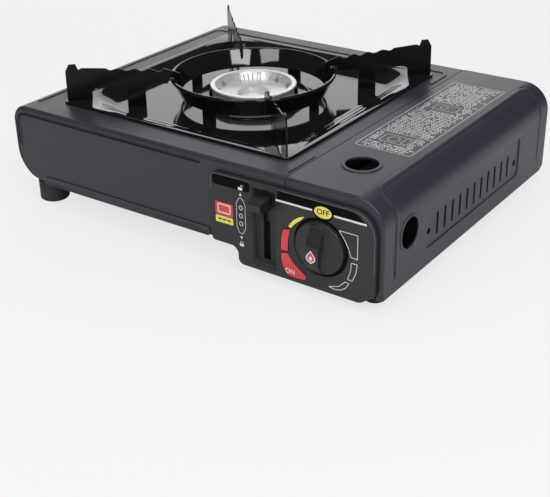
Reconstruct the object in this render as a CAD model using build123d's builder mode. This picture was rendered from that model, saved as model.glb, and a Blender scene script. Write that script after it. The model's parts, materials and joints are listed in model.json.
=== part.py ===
from build123d import *
import os
from math import cos, sin, radians, sqrt

os.makedirs("parts", exist_ok=True)

# A tabletop stove for one butane cartridge.  +Z is up, the front faces -Y, and the origin is on the
# table under the middle of the stove.  All sizes are millimetres.

# ---- driving sizes -------------------------------------------------------------------------------
HALF_W = 172.0            # half the body's width
FRONT_Y = -125.0          # face of the front wall
REAR_Y = 145.0            # face of the rear wall
BODY_D = REAR_Y - FRONT_Y
DECK_Z = 82.0             # top of the deck and of the lid
BASE_Z = 20.5             # bottom edge of the casing on the burner side
BAY_Z = 9.3               # underside of the floor under the cartridge, and bottom edge of the lid
SHEET = 1.0               # pressed steel
GAP = 0.3                 # gap between sheets that move past each other

CASING_RIGHT = 94.0       # right edge of the deck
LID_LEFT = 94.6           # left edge of the lid
TOP_R = 13.0              # casing's upper left corner
BOTTOM_R = 25.0           # casing's lower left corner
LID_R = 22.0              # lid's upper right corner
EDGE_R = 3.0              # rounding of the casing's front and rear edges

BURNER_X, BURNER_Y = -28.9, 8.2
TRAY_HALF = 109.5         # half the drip tray's side
TRAY_TOP = DECK_Z + 2.0   # the tray's border
DISH_FLOOR = DECK_Z - 7.0
TRAY_HOLE_R = 36.6

RING_R, RING_TOP = 66.1, DECK_Z + 13.2          # middle of the ring's rolled lip
RING_FOOT_R, RING_FOOT = 59.0, DECK_Z - 0.5     # lower edge of its wall
LIP_R = 1.5
RING_T = 1.2              # sheet of the ring and the wings

RIM_R, RIM_Z = 35.5, DECK_Z + 5.3
BODY_R = 30.0             # burner chamber
TUBE_Z = 32.0             # mixing tube and gas pipe

CAN_X, CAN_Z = 132.5, 45.0      # the cartridge's axis
KNOB_X, KNOB_Z, KNOB_R = 125.2, 39.2, 19.4
PANEL_FACE = FRONT_Y - 4.0
KNOB_FLOOR = PANEL_FACE - 2.5    # the knob's disc
KNOB_REACH = PANEL_FACE - 11.5   # front of its grip

BAY_WALL_Y = FRONT_Y + 3.0      # front face of the bay's front wall
LEVER_TRAVEL = 31.0
PUSHER_TRAVEL = LEVER_TRAVEL / 4
PIN_R, PIN_Y, PIN_Z = 1.5, -100.0, 45.1

HINGE_Y, HINGE_Z = 139.0, 75.0
HINGE_OUTER_R, HINGE_PIN_R = 3.5, 1.5

FLOOR = BAY_Z + SHEET           # upper face of the bay's floor
PARTITION_X = 91.0              # left face of the partition


# ---- shared shapes -------------------------------------------------------------------------------
def outline(points, radii):
    """A closed outline with rounded corners, as a face in the sketch that is open."""
    with BuildLine() as edge:
        FilletPolyline(*points, radius=radii, close=True)
    make_face(edge.line)


def bar(points, radius, width):
    """A strip of one width along a path with rounded bends."""
    with BuildLine() as path:
        FilletPolyline(*points, radius=radius)
    trace(path.line, line_width=width)


def front_plane(y):
    """The upright plane at y, seen from the front: local x is X and local y is Z."""
    return Plane.XZ.offset(-y)


# ---- casing --------------------------------------------------------------------------------------
TRAY_OPENING = 204.0
FRONT_CUT = (65.0, 91.2, 12.0, 72.0)      # clearance for the lever recess: X from, to, Z from, to
BOTTOM_FLANGE_X = -138.0
DECK_BEAD_X, DECK_BEAD_Y = -157.8, 127.0
BEAD_H = 0.7

with BuildPart() as main_casing:
    with BuildSketch(front_plane(REAR_Y)):
        outline(
            [(CASING_RIGHT, DECK_Z), (-HALF_W, DECK_Z), (-HALF_W, BASE_Z), (CASING_RIGHT, BASE_Z)],
            [0, TOP_R, BOTTOM_R, 0],
        )
    extrude(amount=BODY_D)
    end_faces = main_casing.faces().filter_by(Axis.Y)
    fillet([e for f in end_faces for e in f.edges().sort_by(Axis.X)[:-1]], radius=EDGE_R)
    offset(amount=-SHEET, openings=main_casing.faces().filter_by(Axis.X).sort_by(Axis.X)[-1])
    # open underside, leaving a flange at the left for the floor
    with BuildSketch(Plane.XY.offset(BASE_Z - 1)):
        with Locations(((BOTTOM_FLANGE_X + CASING_RIGHT + 1) / 2, (FRONT_Y + REAR_Y) / 2)):
            Rectangle(CASING_RIGHT + 1 - BOTTOM_FLANGE_X, BODY_D - 2 * SHEET)
    extrude(amount=5, mode=Mode.SUBTRACT)
    # opening under the drip tray
    with BuildSketch(Plane.XY.offset(DECK_Z - 5)):
        with Locations((BURNER_X, BURNER_Y)):
            RectangleRounded(TRAY_OPENING, TRAY_OPENING, 30)
    extrude(amount=10, mode=Mode.SUBTRACT)
    # opening for the lever recess
    with BuildSketch(front_plane(FRONT_Y + 5)):
        with Locations(((FRONT_CUT[0] + FRONT_CUT[1]) / 2, (FRONT_CUT[2] + FRONT_CUT[3]) / 2)):
            Rectangle(FRONT_CUT[1] - FRONT_CUT[0], FRONT_CUT[3] - FRONT_CUT[2])
    extrude(amount=10, mode=Mode.SUBTRACT)
    # air slots in the left end
    with BuildSketch(Plane.YZ.offset(-HALF_W - 2)):
        with GridLocations(11.75, 0, 11, 1):
            with Locations((10, 50)):
                SlotOverall(16, 3, rotation=90)
    extrude(amount=5, mode=Mode.SUBTRACT)
    # pressed beads: round the deck, beside the lid and on the front
    with BuildSketch(Plane.XY.offset(DECK_Z)):
        bar([(DECK_BEAD_X, -108), (DECK_BEAD_X, DECK_BEAD_Y), (88.0, DECK_BEAD_Y), (88.0, 95)], 8, 2.6)
        with Locations((91.2, -100)):
            Rectangle(1.6, 32)
    extrude(amount=BEAD_H)
    fillet(main_casing.faces().filter_by(Axis.Z).group_by(Axis.Z)[-1].edges(), radius=0.5)
    with BuildSketch(front_plane(FRONT_Y)):
        bar([(-166, 48), (-166, 76.5), (20, 76.5)], 9, 3.0)
    extrude(amount=0.8)
    fillet(main_casing.faces().sort_by(Axis.Y)[0].edges(), radius=0.7)
main_casing.part.label = "main_casing"
export_step(main_casing.part, "parts/main_casing.step")

# ---- floor ---------------------------------------------------------------------------------------
FLOOR_LEFT = -147.0
STEP_X = (48.0, 58.0)          # the floor slopes down between these
FLOOR_RIGHT = 168.0
LIP_TOP = 30.0                 # top of the floor's turned-up right edge
FLOOR_FRONT = FRONT_Y + SHEET + 0.2
FLOOR_REAR = REAR_Y - 2 * SHEET
BAND = (-142.0, 27.0, 26.5)    # band outside the front wall: X from, to, and its top

with BuildPart() as bottom_plate:
    with BuildSketch(front_plane(FLOOR_REAR)):
        with BuildLine():
            Polyline(
                (FLOOR_LEFT, BASE_Z), (STEP_X[0], BASE_Z), (STEP_X[1], FLOOR), (FLOOR_RIGHT - SHEET, FLOOR),
                (FLOOR_RIGHT - SHEET, LIP_TOP), (FLOOR_RIGHT, LIP_TOP), (FLOOR_RIGHT, BAY_Z),
                (STEP_X[1] - 0.5, BAY_Z), (STEP_X[0] - 0.5, BASE_Z - SHEET), (FLOOR_LEFT, BASE_Z - SHEET),
                close=True,
            )
        make_face()
    extrude(amount=FLOOR_REAR - FLOOR_FRONT)
    # band that wraps up outside the casing's front wall
    band_x, band_w = (BAND[0] + BAND[1]) / 2, BAND[1] - BAND[0]
    with BuildSketch(front_plane(FRONT_Y)):
        with Locations((band_x, (BASE_Z - SHEET + BAND[2]) / 2)):
            RectangleRounded(band_w, BAND[2] - BASE_Z + SHEET, 2.5)
    extrude(amount=0.8)
    with BuildSketch(Plane.XY.offset(BASE_Z - SHEET)):
        with Locations((band_x, (FLOOR_FRONT + FRONT_Y) / 2)):
            Rectangle(band_w - 6, FLOOR_FRONT - FRONT_Y)
    extrude(amount=SHEET)
    # air slots under the burner
    with BuildSketch(Plane.XY.offset(BASE_Z - 3)):
        with Locations((BURNER_X, BURNER_Y)):
            for side in (-1, 1):
                with GridLocations(12, 0, 7, 1):
                    with Locations((0, side * 78)):
                        SlotOverall(36, 5, rotation=90)
    extrude(amount=6, mode=Mode.SUBTRACT)
bottom_plate.part.label = "bottom_plate"
export_step(bottom_plate.part, "parts/bottom_plate.step")

# ---- cartridge bay -------------------------------------------------------------------------------
LEDGE_Z = DECK_Z - SHEET - GAP             # ledge that the lid's left edge closes over
PARTITION_FRONT = BAY_WALL_Y + SHEET
PARTITION_REAR = REAR_Y - 2 * SHEET
PIPE_R, PIPE_Y = 2.5, -88.0
LEAD_R, LEAD_Y, LEAD_Z = 1.4, -62.0, 62.0

with BuildPart() as partition_wall:
    with BuildSketch(front_plane(PARTITION_REAR)):
        with BuildLine():
            Polyline(
                (PARTITION_X, FLOOR), (PARTITION_X, LEDGE_Z), (100, LEDGE_Z), (100, LEDGE_Z - SHEET),
                (PARTITION_X + SHEET, LEDGE_Z - SHEET), (PARTITION_X + SHEET, FLOOR), close=True,
            )
        make_face()
    extrude(amount=PARTITION_REAR - PARTITION_FRONT)
    with BuildSketch(Plane.YZ.offset(PARTITION_X - 2)):
        with Locations((PIN_Y - PUSHER_TRAVEL / 2, PIN_Z)):
            SlotOverall(PUSHER_TRAVEL + 6, 4.6)
        with Locations((PIPE_Y, TUBE_Z)):
            Circle(PIPE_R + 0.6)
        with Locations((LEAD_Y, LEAD_Z)):
            Circle(LEAD_R + 0.8)
    extrude(amount=5, mode=Mode.SUBTRACT)
    # the ledge stops short of the hinge
    with BuildSketch(Plane.XY.offset(LEDGE_Z - 6)):
        with Locations((98, HINGE_Y)):
            Rectangle(11.9, 22)
    extrude(amount=10, mode=Mode.SUBTRACT)
partition_wall.part.label = "partition_wall"
export_step(partition_wall.part, "parts/partition_wall.step")

BAY_WALL_RIGHT = 166.5
SHAFT_HOLE_R = 4.5
LEVER_SLOT = (73.9, 80.1, 13.5, 62.5)       # X from, to, Z from, to

with BuildPart() as bay_front_wall:
    with BuildSketch(front_plane(PARTITION_FRONT)):
        outline(
            [(62, FLOOR), (62, 79.5), (BAY_WALL_RIGHT, 80.2), (BAY_WALL_RIGHT, FLOOR)],
            [0, 4, 16, 0],
        )
        with Locations(((LEVER_SLOT[0] + LEVER_SLOT[1]) / 2, (LEVER_SLOT[2] + LEVER_SLOT[3]) / 2)):
            Rectangle(8.5, 50, mode=Mode.SUBTRACT)
        with Locations((KNOB_X, KNOB_Z)):
            Circle(SHAFT_HOLE_R, mode=Mode.SUBTRACT)
    extrude(amount=SHEET)
bay_front_wall.part.label = "bay_front_wall"
export_step(bay_front_wall.part, "parts/bay_front_wall.step")

BAY_REAR_TOP = 64.0

with BuildPart() as bay_rear_wall:
    with BuildSketch(front_plane(REAR_Y - SHEET)):
        outline(
            [(STEP_X[1], FLOOR), (STEP_X[1], BAY_REAR_TOP), (FLOOR_RIGHT, BAY_REAR_TOP), (FLOOR_RIGHT, BAY_Z),
             (STEP_X[1], BAY_Z)],
            [0, 4, 4, 0, 0],
        )
    extrude(amount=SHEET)
bay_rear_wall.part.label = "bay_rear_wall"
export_step(bay_rear_wall.part, "parts/bay_rear_wall.step")

CRADLE_HALF, CRADLE_TOP = 19.5, 18.0
CRADLE_Y = (-50.0, 112.0)

with BuildPart() as cartridge_cradle:
    with BuildSketch(front_plane(CRADLE_Y[1])):
        with BuildLine():
            Polyline(
                (CAN_X - CRADLE_HALF, FLOOR), (CAN_X - CRADLE_HALF, CRADLE_TOP),
                (CAN_X - CRADLE_HALF + SHEET, CRADLE_TOP), (CAN_X - CRADLE_HALF + SHEET, FLOOR + SHEET),
                (CAN_X + CRADLE_HALF - SHEET, FLOOR + SHEET), (CAN_X + CRADLE_HALF - SHEET, CRADLE_TOP),
                (CAN_X + CRADLE_HALF, CRADLE_TOP), (CAN_X + CRADLE_HALF, FLOOR), close=True,
            )
        make_face()
    extrude(amount=CRADLE_Y[1] - CRADLE_Y[0])
cartridge_cradle.part.label = "cartridge_cradle"
export_step(cartridge_cradle.part, "parts/cartridge_cradle.step")

COLLAR_Y = -72.0

with BuildPart() as collar_plate:
    with BuildSketch(front_plane(COLLAR_Y + SHEET)):
        outline([(108, FLOOR), (108, 66), (157, 66), (157, FLOOR)], [0, 6, 6, 0])
        with Locations((CAN_X, CAN_Z)):
            Circle(10.5, mode=Mode.SUBTRACT)
    extrude(amount=SHEET)
    # locating tongue for the notch in the cartridge's collar
    with BuildSketch(front_plane(COLLAR_Y + 7)):
        with Locations((CAN_X, CAN_Z + 14)):
            Rectangle(5.5, SHEET)
    extrude(amount=7)
collar_plate.part.label = "collar_plate"
export_step(collar_plate.part, "parts/collar_plate.step")

# ---- cartridge pusher ----------------------------------------------------------------------------
STRIP_X = (93.2, 94.4)
STRIP_Z = (38.0, 52.0)
PLATE_Y = (125.5, 127.0)

with BuildPart() as cartridge_pusher:
    with BuildSketch(Plane.XY.offset(STRIP_Z[0])):
        with BuildLine():
            Polyline(
                (STRIP_X[0], PIN_Y - 6), (STRIP_X[0], PLATE_Y[1]), (STRIP_X[1] + 6, PLATE_Y[1]),
                (STRIP_X[1] + 6, PLATE_Y[0]), (STRIP_X[1], PLATE_Y[0]), (STRIP_X[1], PIN_Y - 6), close=True,
            )
        make_face()
    extrude(amount=STRIP_Z[1] - STRIP_Z[0])
    with BuildSketch(front_plane(PLATE_Y[1])):
        outline([(99, 27), (99, 62), (160, 62), (160, 27)], [3, 12, 12, 12])
    extrude(amount=PLATE_Y[1] - PLATE_Y[0])
cartridge_pusher.part.label = "cartridge_pusher"
export_step(cartridge_pusher.part, "parts/cartridge_pusher.step")

with BuildPart() as pusher_pin:
    with BuildSketch(Plane.YZ.offset(85.6)):
        with Locations((PIN_Y, PIN_Z)):
            Circle(PIN_R)
    extrude(amount=STRIP_X[0] - 85.6)
    with BuildSketch(Plane.YZ.offset(85.0)):
        with Locations((PIN_Y, PIN_Z)):
            Circle(PIN_R + 1)
    extrude(amount=0.8)
pusher_pin.part.label = "pusher_pin"
export_step(pusher_pin.part, "parts/pusher_pin.step")

GUIDE_YS = (-40.0, 30.0, 95.0)

with BuildPart() as pusher_guides:
    with BuildSketch(front_plane(GUIDE_YS[0] + 5)):
        with Locations((PARTITION_X + SHEET + 2.0, (STRIP_Z[0] + STRIP_Z[1]) / 2)):
            Rectangle(4.0, 18.0)
        with Locations(((STRIP_X[0] + STRIP_X[1]) / 2, (STRIP_Z[0] + STRIP_Z[1]) / 2)):
            Rectangle(1.9, 14.7, mode=Mode.SUBTRACT)
    extrude(amount=10)
    guide = pusher_guides.part
    for y in GUIDE_YS[1:]:
        add(guide.moved(Location((0, y - GUIDE_YS[0], 0))))
pusher_guides.part.label = "pusher_guides"
export_step(pusher_guides.part, "parts/pusher_guides.step")

# ---- lock lever and its slide --------------------------------------------------------------------
CAM_X = (86.4, 87.9)
CAM_Z = (42.0, 79.2)
SLIDE_Y = (-120.4, -118.9)
ARM_Z = (55.6, 61.6)
ARM_W = 4.4
LEVER_X = (71.3, 82.1)                          # the thumb piece
SLOT_R = PIN_R + 0.2

with BuildPart() as lock_lever:
    with BuildSketch(Plane.YZ.offset(LEVER_X[0])):
        outline(
            [(-124.6, 54.8), (-124.6, 64.6), (-131.0, 64.4), (-138.8, 62.3), (-137.8, 56.6), (-133.5, 54.8)],
            [0.8, 0.8, 3.0, 0.9, 1.2, 1.5],
        )
    extrude(amount=LEVER_X[1] - LEVER_X[0])
    # arm through the panel's slot
    with BuildSketch(front_plane(-124.7)):
        with Locations(((LEVER_SLOT[0] + LEVER_SLOT[1]) / 2, (ARM_Z[0] + ARM_Z[1]) / 2)):
            Rectangle(ARM_W, ARM_Z[1] - ARM_Z[0])
    extrude(amount=SLIDE_Y[0] + 124.7, dir=(0, 1, 0))
lock_lever.part.label = "lock_lever"
export_step(lock_lever.part, "parts/lock_lever.step")

with BuildPart() as lever_slide:
    # front web, held by the keeper
    with BuildSketch(front_plane(SLIDE_Y[1])):
        with Locations(((74 + CAM_X[1]) / 2, (CAM_Z[0] + CAM_Z[1]) / 2)):
            Rectangle(CAM_X[1] - 74, CAM_Z[1] - CAM_Z[0])
    extrude(amount=SLIDE_Y[1] - SLIDE_Y[0])
    # cam plate with a slanted slot: the slide going down draws the pin forwards
    with BuildSketch(Plane.YZ.offset(CAM_X[0])):
        with BuildLine():
            Polyline(
                (SLIDE_Y[0], CAM_Z[0]), (SLIDE_Y[0], CAM_Z[1]), (-101, CAM_Z[1]), (-95.5, CAM_Z[0] + 8),
                (-95.5, CAM_Z[0]), close=True,
            )
        make_face()
        with Locations((PIN_Y - PUSHER_TRAVEL / 2, PIN_Z + LEVER_TRAVEL / 2)):
            SlotCenterToCenter(
                sqrt(LEVER_TRAVEL**2 + PUSHER_TRAVEL**2), 2 * SLOT_R,
                rotation=90 + Vector(0, 1).get_angle(Vector(-PUSHER_TRAVEL, LEVER_TRAVEL)),
                mode=Mode.SUBTRACT,
            )
    extrude(amount=CAM_X[1] - CAM_X[0])
lever_slide.part.label = "lever_slide"
export_step(lever_slide.part, "parts/lever_slide.step")

with BuildPart() as lever_keeper:
    # angle that keeps the slide's web against the bay's front wall
    with BuildSketch(Plane.XY.offset(FLOOR)):
        with BuildLine():
            Polyline(
                (71.2, PARTITION_FRONT), (71.2, -117.2), (80.0, -117.2), (80.0, -118.3), (72.4, -118.3),
                (72.4, PARTITION_FRONT), close=True,
            )
        make_face()
    extrude(amount=69)
lever_keeper.part.label = "lever_keeper"
export_step(lever_keeper.part, "parts/lever_keeper.step")

with BuildPart() as lever_rail:
    with BuildSketch(Plane.XY.offset(FLOOR)):
        with BuildLine():
            Polyline(
                (88.4, PARTITION_FRONT), (88.4, -112), (89.6, -112), (89.6, PARTITION_FRONT), close=True,
            )
        make_face()
    extrude(amount=69)
lever_rail.part.label = "lever_rail"
export_step(lever_rail.part, "parts/lever_rail.step")

# ---- control panel -------------------------------------------------------------------------------
RECESS = (68.3, 88.3, 12.0, 70.3)              # X from, to, Z from, to
RECESS_FOOT = 9.8                               # where its slanted lower side meets the face
PANEL_X = (31.5, 168.0)
PANEL_TOP = 74.0
RECESS_FLOOR = BAY_WALL_Y - 1.6
WELL_R = 22.0

with BuildPart() as control_panel:
    with BuildSketch(front_plane(FRONT_Y)):
        outline(
            [(PANEL_X[0], PANEL_TOP), (PANEL_X[0], 19.5), (54.8, 19.5), (54.8, 6.2), (156.5, 5.4),
             (PANEL_X[1], 13.5), (PANEL_X[1], PANEL_TOP)],
            [5, 3, 6, 5, 8, 4, 18],
        )
    extrude(amount=FRONT_Y - PANEL_FACE)
    fillet(control_panel.faces().sort_by(Axis.Y)[0].edges(), radius=0.9)
    # clear of the lid's front flange
    with BuildSketch(front_plane(FRONT_Y)):
        outline(
            [(LID_LEFT - 0.5, DECK_Z), (HALF_W, DECK_Z), (HALF_W, 0), (PANEL_X[1] - 1.5, 0),
             (PANEL_X[1] - 1.5, PANEL_TOP - 1), (LID_LEFT - 0.5, PANEL_TOP - 1)],
            [0, 0, 0, 0, 17, 0],
        )
    extrude(amount=0.4, mode=Mode.SUBTRACT)
    # hollow back, with a rim and with pillars to the bay's front wall
    with BuildSketch(front_plane(FRONT_Y)):
        with Locations((128, 38)):
            RectangleRounded(70, 58, 8)
        with Locations((KNOB_X, KNOB_Z)):
            Circle(WELL_R + 2, mode=Mode.SUBTRACT)
    extrude(amount=2.2, mode=Mode.SUBTRACT)
    with BuildSketch(front_plane(BAY_WALL_Y)):
        with Locations((99, 61), (157, 55), (157, 17), (99, 17)):
            Circle(3.5)
    extrude(amount=BAY_WALL_Y - FRONT_Y + 2.4)
    # boxed recess round the lever
    with BuildSketch(front_plane(BAY_WALL_Y)):
        with Locations(((RECESS[0] + RECESS[1]) / 2, (RECESS[2] + RECESS[3]) / 2)):
            Rectangle(RECESS[1] - RECESS[0] + 3, RECESS[3] - RECESS[2] + 3)
    extrude(amount=BAY_WALL_Y - FRONT_Y + 0.5)
    with BuildSketch(front_plane(RECESS_FLOOR)):
        with Locations(((RECESS[0] + RECESS[1]) / 2, (RECESS[2] + RECESS[3]) / 2)):
            RectangleRounded(RECESS[1] - RECESS[0], RECESS[3] - RECESS[2], 1.5)
    extrude(amount=20, mode=Mode.SUBTRACT)
    with BuildSketch(Plane.YZ.offset(RECESS[0])):
        with BuildLine():
            Polyline(
                (RECESS_FLOOR - 1, RECESS[2]), (PANEL_FACE - 1, RECESS_FOOT), (PANEL_FACE - 1, RECESS[2] + 5),
                (RECESS_FLOOR - 1, RECESS[2] + 5), close=True,
            )
        make_face()
    extrude(amount=RECESS[1] - RECESS[0], mode=Mode.SUBTRACT)
    with BuildSketch(front_plane(BAY_WALL_Y + 2)):
        with Locations(((LEVER_SLOT[0] + LEVER_SLOT[1]) / 2, (LEVER_SLOT[2] + LEVER_SLOT[3]) / 2)):
            Rectangle(LEVER_SLOT[1] - LEVER_SLOT[0], LEVER_SLOT[3] - LEVER_SLOT[2])
    extrude(amount=20, mode=Mode.SUBTRACT)
    # knob well and shaft hole
    with BuildSketch(front_plane(PANEL_FACE + 1.4)):
        with Locations((KNOB_X, KNOB_Z)):
            Circle(WELL_R)
    extrude(amount=5, mode=Mode.SUBTRACT)
    with BuildSketch(front_plane(BAY_WALL_Y + 2)):
        with Locations((KNOB_X, KNOB_Z)):
            Circle(SHAFT_HOLE_R)
    extrude(amount=20, mode=Mode.SUBTRACT)
control_panel.part.label = "control_panel"
export_step(control_panel.part, "parts/control_panel.step")

# ---- knob ----------------------------------------------------------------------------------------
SHAFT_R = 3.0
KNOB_BACK = PANEL_FACE + 0.8
SHAFT_END = -101.0

# the grip: a blade across the disc that slants down at both ends
GRIP_HALF = 5.4

with BuildPart() as knob_grip:
    with BuildSketch(front_plane(KNOB_FLOOR + 1)):
        with Locations((KNOB_X, KNOB_Z)):
            Rectangle(2 * GRIP_HALF, 3 * KNOB_R)
            Circle(KNOB_R - 0.8, mode=Mode.INTERSECT)
    extrude(amount=KNOB_FLOOR + 1 - KNOB_REACH)
    with BuildSketch(Plane.YZ.offset(KNOB_X - 20)):
        outline(
            [(KNOB_FLOOR + 2, KNOB_Z - 20), (KNOB_FLOOR - 0.6, KNOB_Z - 18), (KNOB_REACH, KNOB_Z - 10),
             (KNOB_REACH, KNOB_Z + 5), (KNOB_FLOOR - 2.6, KNOB_Z + 16), (KNOB_FLOOR - 2.0, KNOB_Z + 20),
             (KNOB_FLOOR + 2, KNOB_Z + 20)],
            [0, 1, 3, 7, 5, 0, 0],
        )
    extrude(amount=40, mode=Mode.INTERSECT)
    front_faces = [f for f in knob_grip.faces() if f.normal_at().Y < -0.3]
    fillet([e for f in front_faces for e in f.edges()
            if abs(e.tangent_at(0.5).X) < 0.9 and e.center().Y < KNOB_FLOOR - 0.5], radius=0.5)

with BuildPart() as knob:
    with BuildSketch(front_plane(KNOB_BACK)):
        with Locations((KNOB_X, KNOB_Z)):
            Circle(KNOB_R)
    extrude(amount=KNOB_BACK - KNOB_FLOOR)
    fillet(knob.faces().sort_by(Axis.Y)[0].edges(), radius=1.2)
    add(knob_grip.part)
    with BuildSketch(front_plane(KNOB_BACK)):
        with Locations((KNOB_X, KNOB_Z)):
            Circle(SHAFT_R)
    extrude(amount=9, mode=Mode.SUBTRACT)
knob.part.label = "knob"
export_step(knob.part, "parts/knob.step")

with BuildPart() as valve_shaft:
    with BuildSketch(front_plane(SHAFT_END)):
        with Locations((KNOB_X, KNOB_Z)):
            Circle(SHAFT_R)
    extrude(amount=SHAFT_END - KNOB_BACK + 8.5)
    chamfer(valve_shaft.edges().filter_by(GeomType.CIRCLE), length=0.4)
valve_shaft.part.label = "valve_shaft"
export_step(valve_shaft.part, "parts/valve_shaft.step")

# ---- regulator -----------------------------------------------------------------------------------
REG_FRONT = PARTITION_FRONT
REG_BACK = -82.0

with BuildPart() as regulator_body:
    # valve block
    with BuildSketch(front_plane(-108)):
        outline([(113, 25), (113, 61), (152, 61), (152, 25)], [6, 6, 6, 6])
    extrude(amount=-108 - REG_FRONT)
    # round housing and neck on the cartridge's axis
    with BuildSketch(front_plane(REG_BACK)):
        with Locations((CAN_X, CAN_Z)):
            Circle(18)
    extrude(amount=REG_BACK + 109)
    with BuildSketch(front_plane(COLLAR_Y)):
        with Locations((CAN_X, CAN_Z)):
            Circle(9.5)
    extrude(amount=COLLAR_Y - REG_BACK + 1)
    # outlet boss towards the burner
    with BuildSketch(Plane.YZ.offset(104)):
        with Locations((PIPE_Y, TUBE_Z)):
            RectangleRounded(10, 10, 2)
    extrude(amount=16)
    # saddle for the diaphragm cover
    with BuildSketch(Plane.XY.offset(55)):
        with Locations((CAN_X, -97)):
            Circle(15)
    extrude(amount=12)
    with BuildSketch(front_plane(SHAFT_END + 1)):
        with Locations((KNOB_X, KNOB_Z)):
            Circle(SHAFT_R + 0.06)
    extrude(amount=30, mode=Mode.SUBTRACT)
    with BuildSketch(front_plane(COLLAR_Y)):
        with Locations((CAN_X, CAN_Z)):
            Circle(3.0)
    extrude(amount=8, mode=Mode.SUBTRACT)
regulator_body.part.label = "regulator_body"
export_step(regulator_body.part, "parts/regulator_body.step")

with BuildPart() as diaphragm_cover:
    with BuildSketch(Plane.XZ.offset(97)):
        with BuildLine():
            Polyline(
                (CAN_X, 67), (CAN_X + 19, 67), (CAN_X + 19, 69.5), (CAN_X + 15, 69.5), (CAN_X + 13, 73),
                (CAN_X, 73), close=True,
            )
        make_face()
    revolve(axis=Axis((CAN_X, -97, 0), (0, 0, 1)))
    with BuildSketch(Plane.XY.offset(73)):
        with Locations((CAN_X, -97)):
            RegularPolygon(4, 6)
    extrude(amount=2)
diaphragm_cover.part.label = "diaphragm_cover"
export_step(diaphragm_cover.part, "parts/diaphragm_cover.step")

with BuildPart() as regulator_nozzle:
    with BuildSketch(Plane.XY.offset(CAN_Z)):
        with BuildLine():
            Polyline(
                (CAN_X, -79), (CAN_X + 3, -79), (CAN_X + 3, COLLAR_Y), (CAN_X + 5, COLLAR_Y),
                (CAN_X + 5, -69),
                (CAN_X + 2.6, -69), (CAN_X + 2.2, -61.5), (CAN_X + 0.8, -61.5), (CAN_X + 0.8, -66),
                (CAN_X, -66),
                close=True,
            )
        make_face()
    revolve(axis=Axis((CAN_X, 0, CAN_Z), (0, 1, 0)))
regulator_nozzle.part.label = "regulator_nozzle"
export_step(regulator_nozzle.part, "parts/regulator_nozzle.step")

with BuildPart() as inlet_seal:
    with BuildSketch(front_plane(-67.0)):
        with Locations((CAN_X, CAN_Z)):
            Circle(6.0)
            Circle(2.6, mode=Mode.SUBTRACT)
    extrude(amount=2.0)
inlet_seal.part.label = "inlet_seal"
export_step(inlet_seal.part, "parts/inlet_seal.step")

# ---- ignition ------------------------------------------------------------------------------------
PIEZO_X = 102.0
ELECTRODE_X = BURNER_X - 40.5

with BuildPart() as piezo_igniter:
    with BuildSketch(front_plane(-88)):
        with Locations((PIEZO_X, LEAD_Z)):
            RectangleRounded(11, 15, 1.5)
    extrude(amount=-88 - PARTITION_FRONT)
    with BuildSketch(front_plane(-84)):
        with Locations((PIEZO_X, LEAD_Z)):
            Circle(3)
    extrude(amount=4)
piezo_igniter.part.label = "piezo_igniter"
export_step(piezo_igniter.part, "parts/piezo_igniter.step")

with BuildPart() as ignition_lead:
    with BuildLine() as lead_path:
        FilletPolyline(
            (PIEZO_X, -84, LEAD_Z), (PIEZO_X, LEAD_Y, LEAD_Z), (60, LEAD_Y, LEAD_Z), (-60, LEAD_Y, LEAD_Z),
            (ELECTRODE_X - 16, -30, LEAD_Z), (ELECTRODE_X - 16, BURNER_Y, LEAD_Z),
            (ELECTRODE_X - 3, BURNER_Y, LEAD_Z),
            radius=[9, 0, 20, 14, 8],
        )
    with BuildSketch(Plane(origin=(PIEZO_X, -84, LEAD_Z), x_dir=(1, 0, 0), z_dir=(0, 1, 0))):
        Circle(LEAD_R)
    sweep(path=lead_path.line)
ignition_lead.part.label = "ignition_lead"
export_step(ignition_lead.part, "parts/ignition_lead.step")

with BuildPart() as electrode_insulator:
    with BuildSketch(Plane.XY.offset(57)):
        with Locations((ELECTRODE_X, BURNER_Y)):
            Circle(3)
    extrude(amount=22)
    chamfer(electrode_insulator.edges().sort_by(Axis.Z)[-1], length=1)
electrode_insulator.part.label = "electrode_insulator"
export_step(electrode_insulator.part, "parts/electrode_insulator.step")

with BuildPart() as spark_electrode:
    with BuildLine() as wire_path:
        FilletPolyline(
            (ELECTRODE_X, BURNER_Y, 79), (ELECTRODE_X, BURNER_Y, 84.5), (ELECTRODE_X + 3.6, BURNER_Y, 84.5),
            radius=[1.8],
        )
    with BuildSketch(Plane.XY.offset(79)):
        with Locations((ELECTRODE_X, BURNER_Y)):
            Circle(0.8)
    sweep(path=wire_path.line)
spark_electrode.part.label = "spark_electrode"
export_step(spark_electrode.part, "parts/spark_electrode.step")

with BuildPart() as electrode_bracket:
    with BuildSketch(Plane.XY.offset(55.8)):
        with Locations((ELECTRODE_X + 4, BURNER_Y)):
            Rectangle(17, 10)
        with Locations((BURNER_X, BURNER_Y)):
            Circle(BODY_R, mode=Mode.SUBTRACT)
    extrude(amount=1.2)
electrode_bracket.part.label = "electrode_bracket"
export_step(electrode_bracket.part, "parts/electrode_bracket.step")

# ---- gas feed ------------------------------------------------------------------------------------
TUBE_R = 9.0
TUBE_MOUTH_X = 54.0
JET_X = (50.0, 68.0)

with BuildPart() as gas_pipe:
    with BuildLine() as pipe_path:
        FilletPolyline(
            (104, PIPE_Y, TUBE_Z), (82, PIPE_Y, TUBE_Z), (82, BURNER_Y, TUBE_Z), (JET_X[1], BURNER_Y, TUBE_Z),
            radius=[9, 9],
        )
    with BuildSketch(Plane(origin=(104, PIPE_Y, TUBE_Z), x_dir=(0, 1, 0), z_dir=(-1, 0, 0))):
        Circle(PIPE_R)
    sweep(path=pipe_path.line)
gas_pipe.part.label = "gas_pipe"
export_step(gas_pipe.part, "parts/gas_pipe.step")

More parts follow.
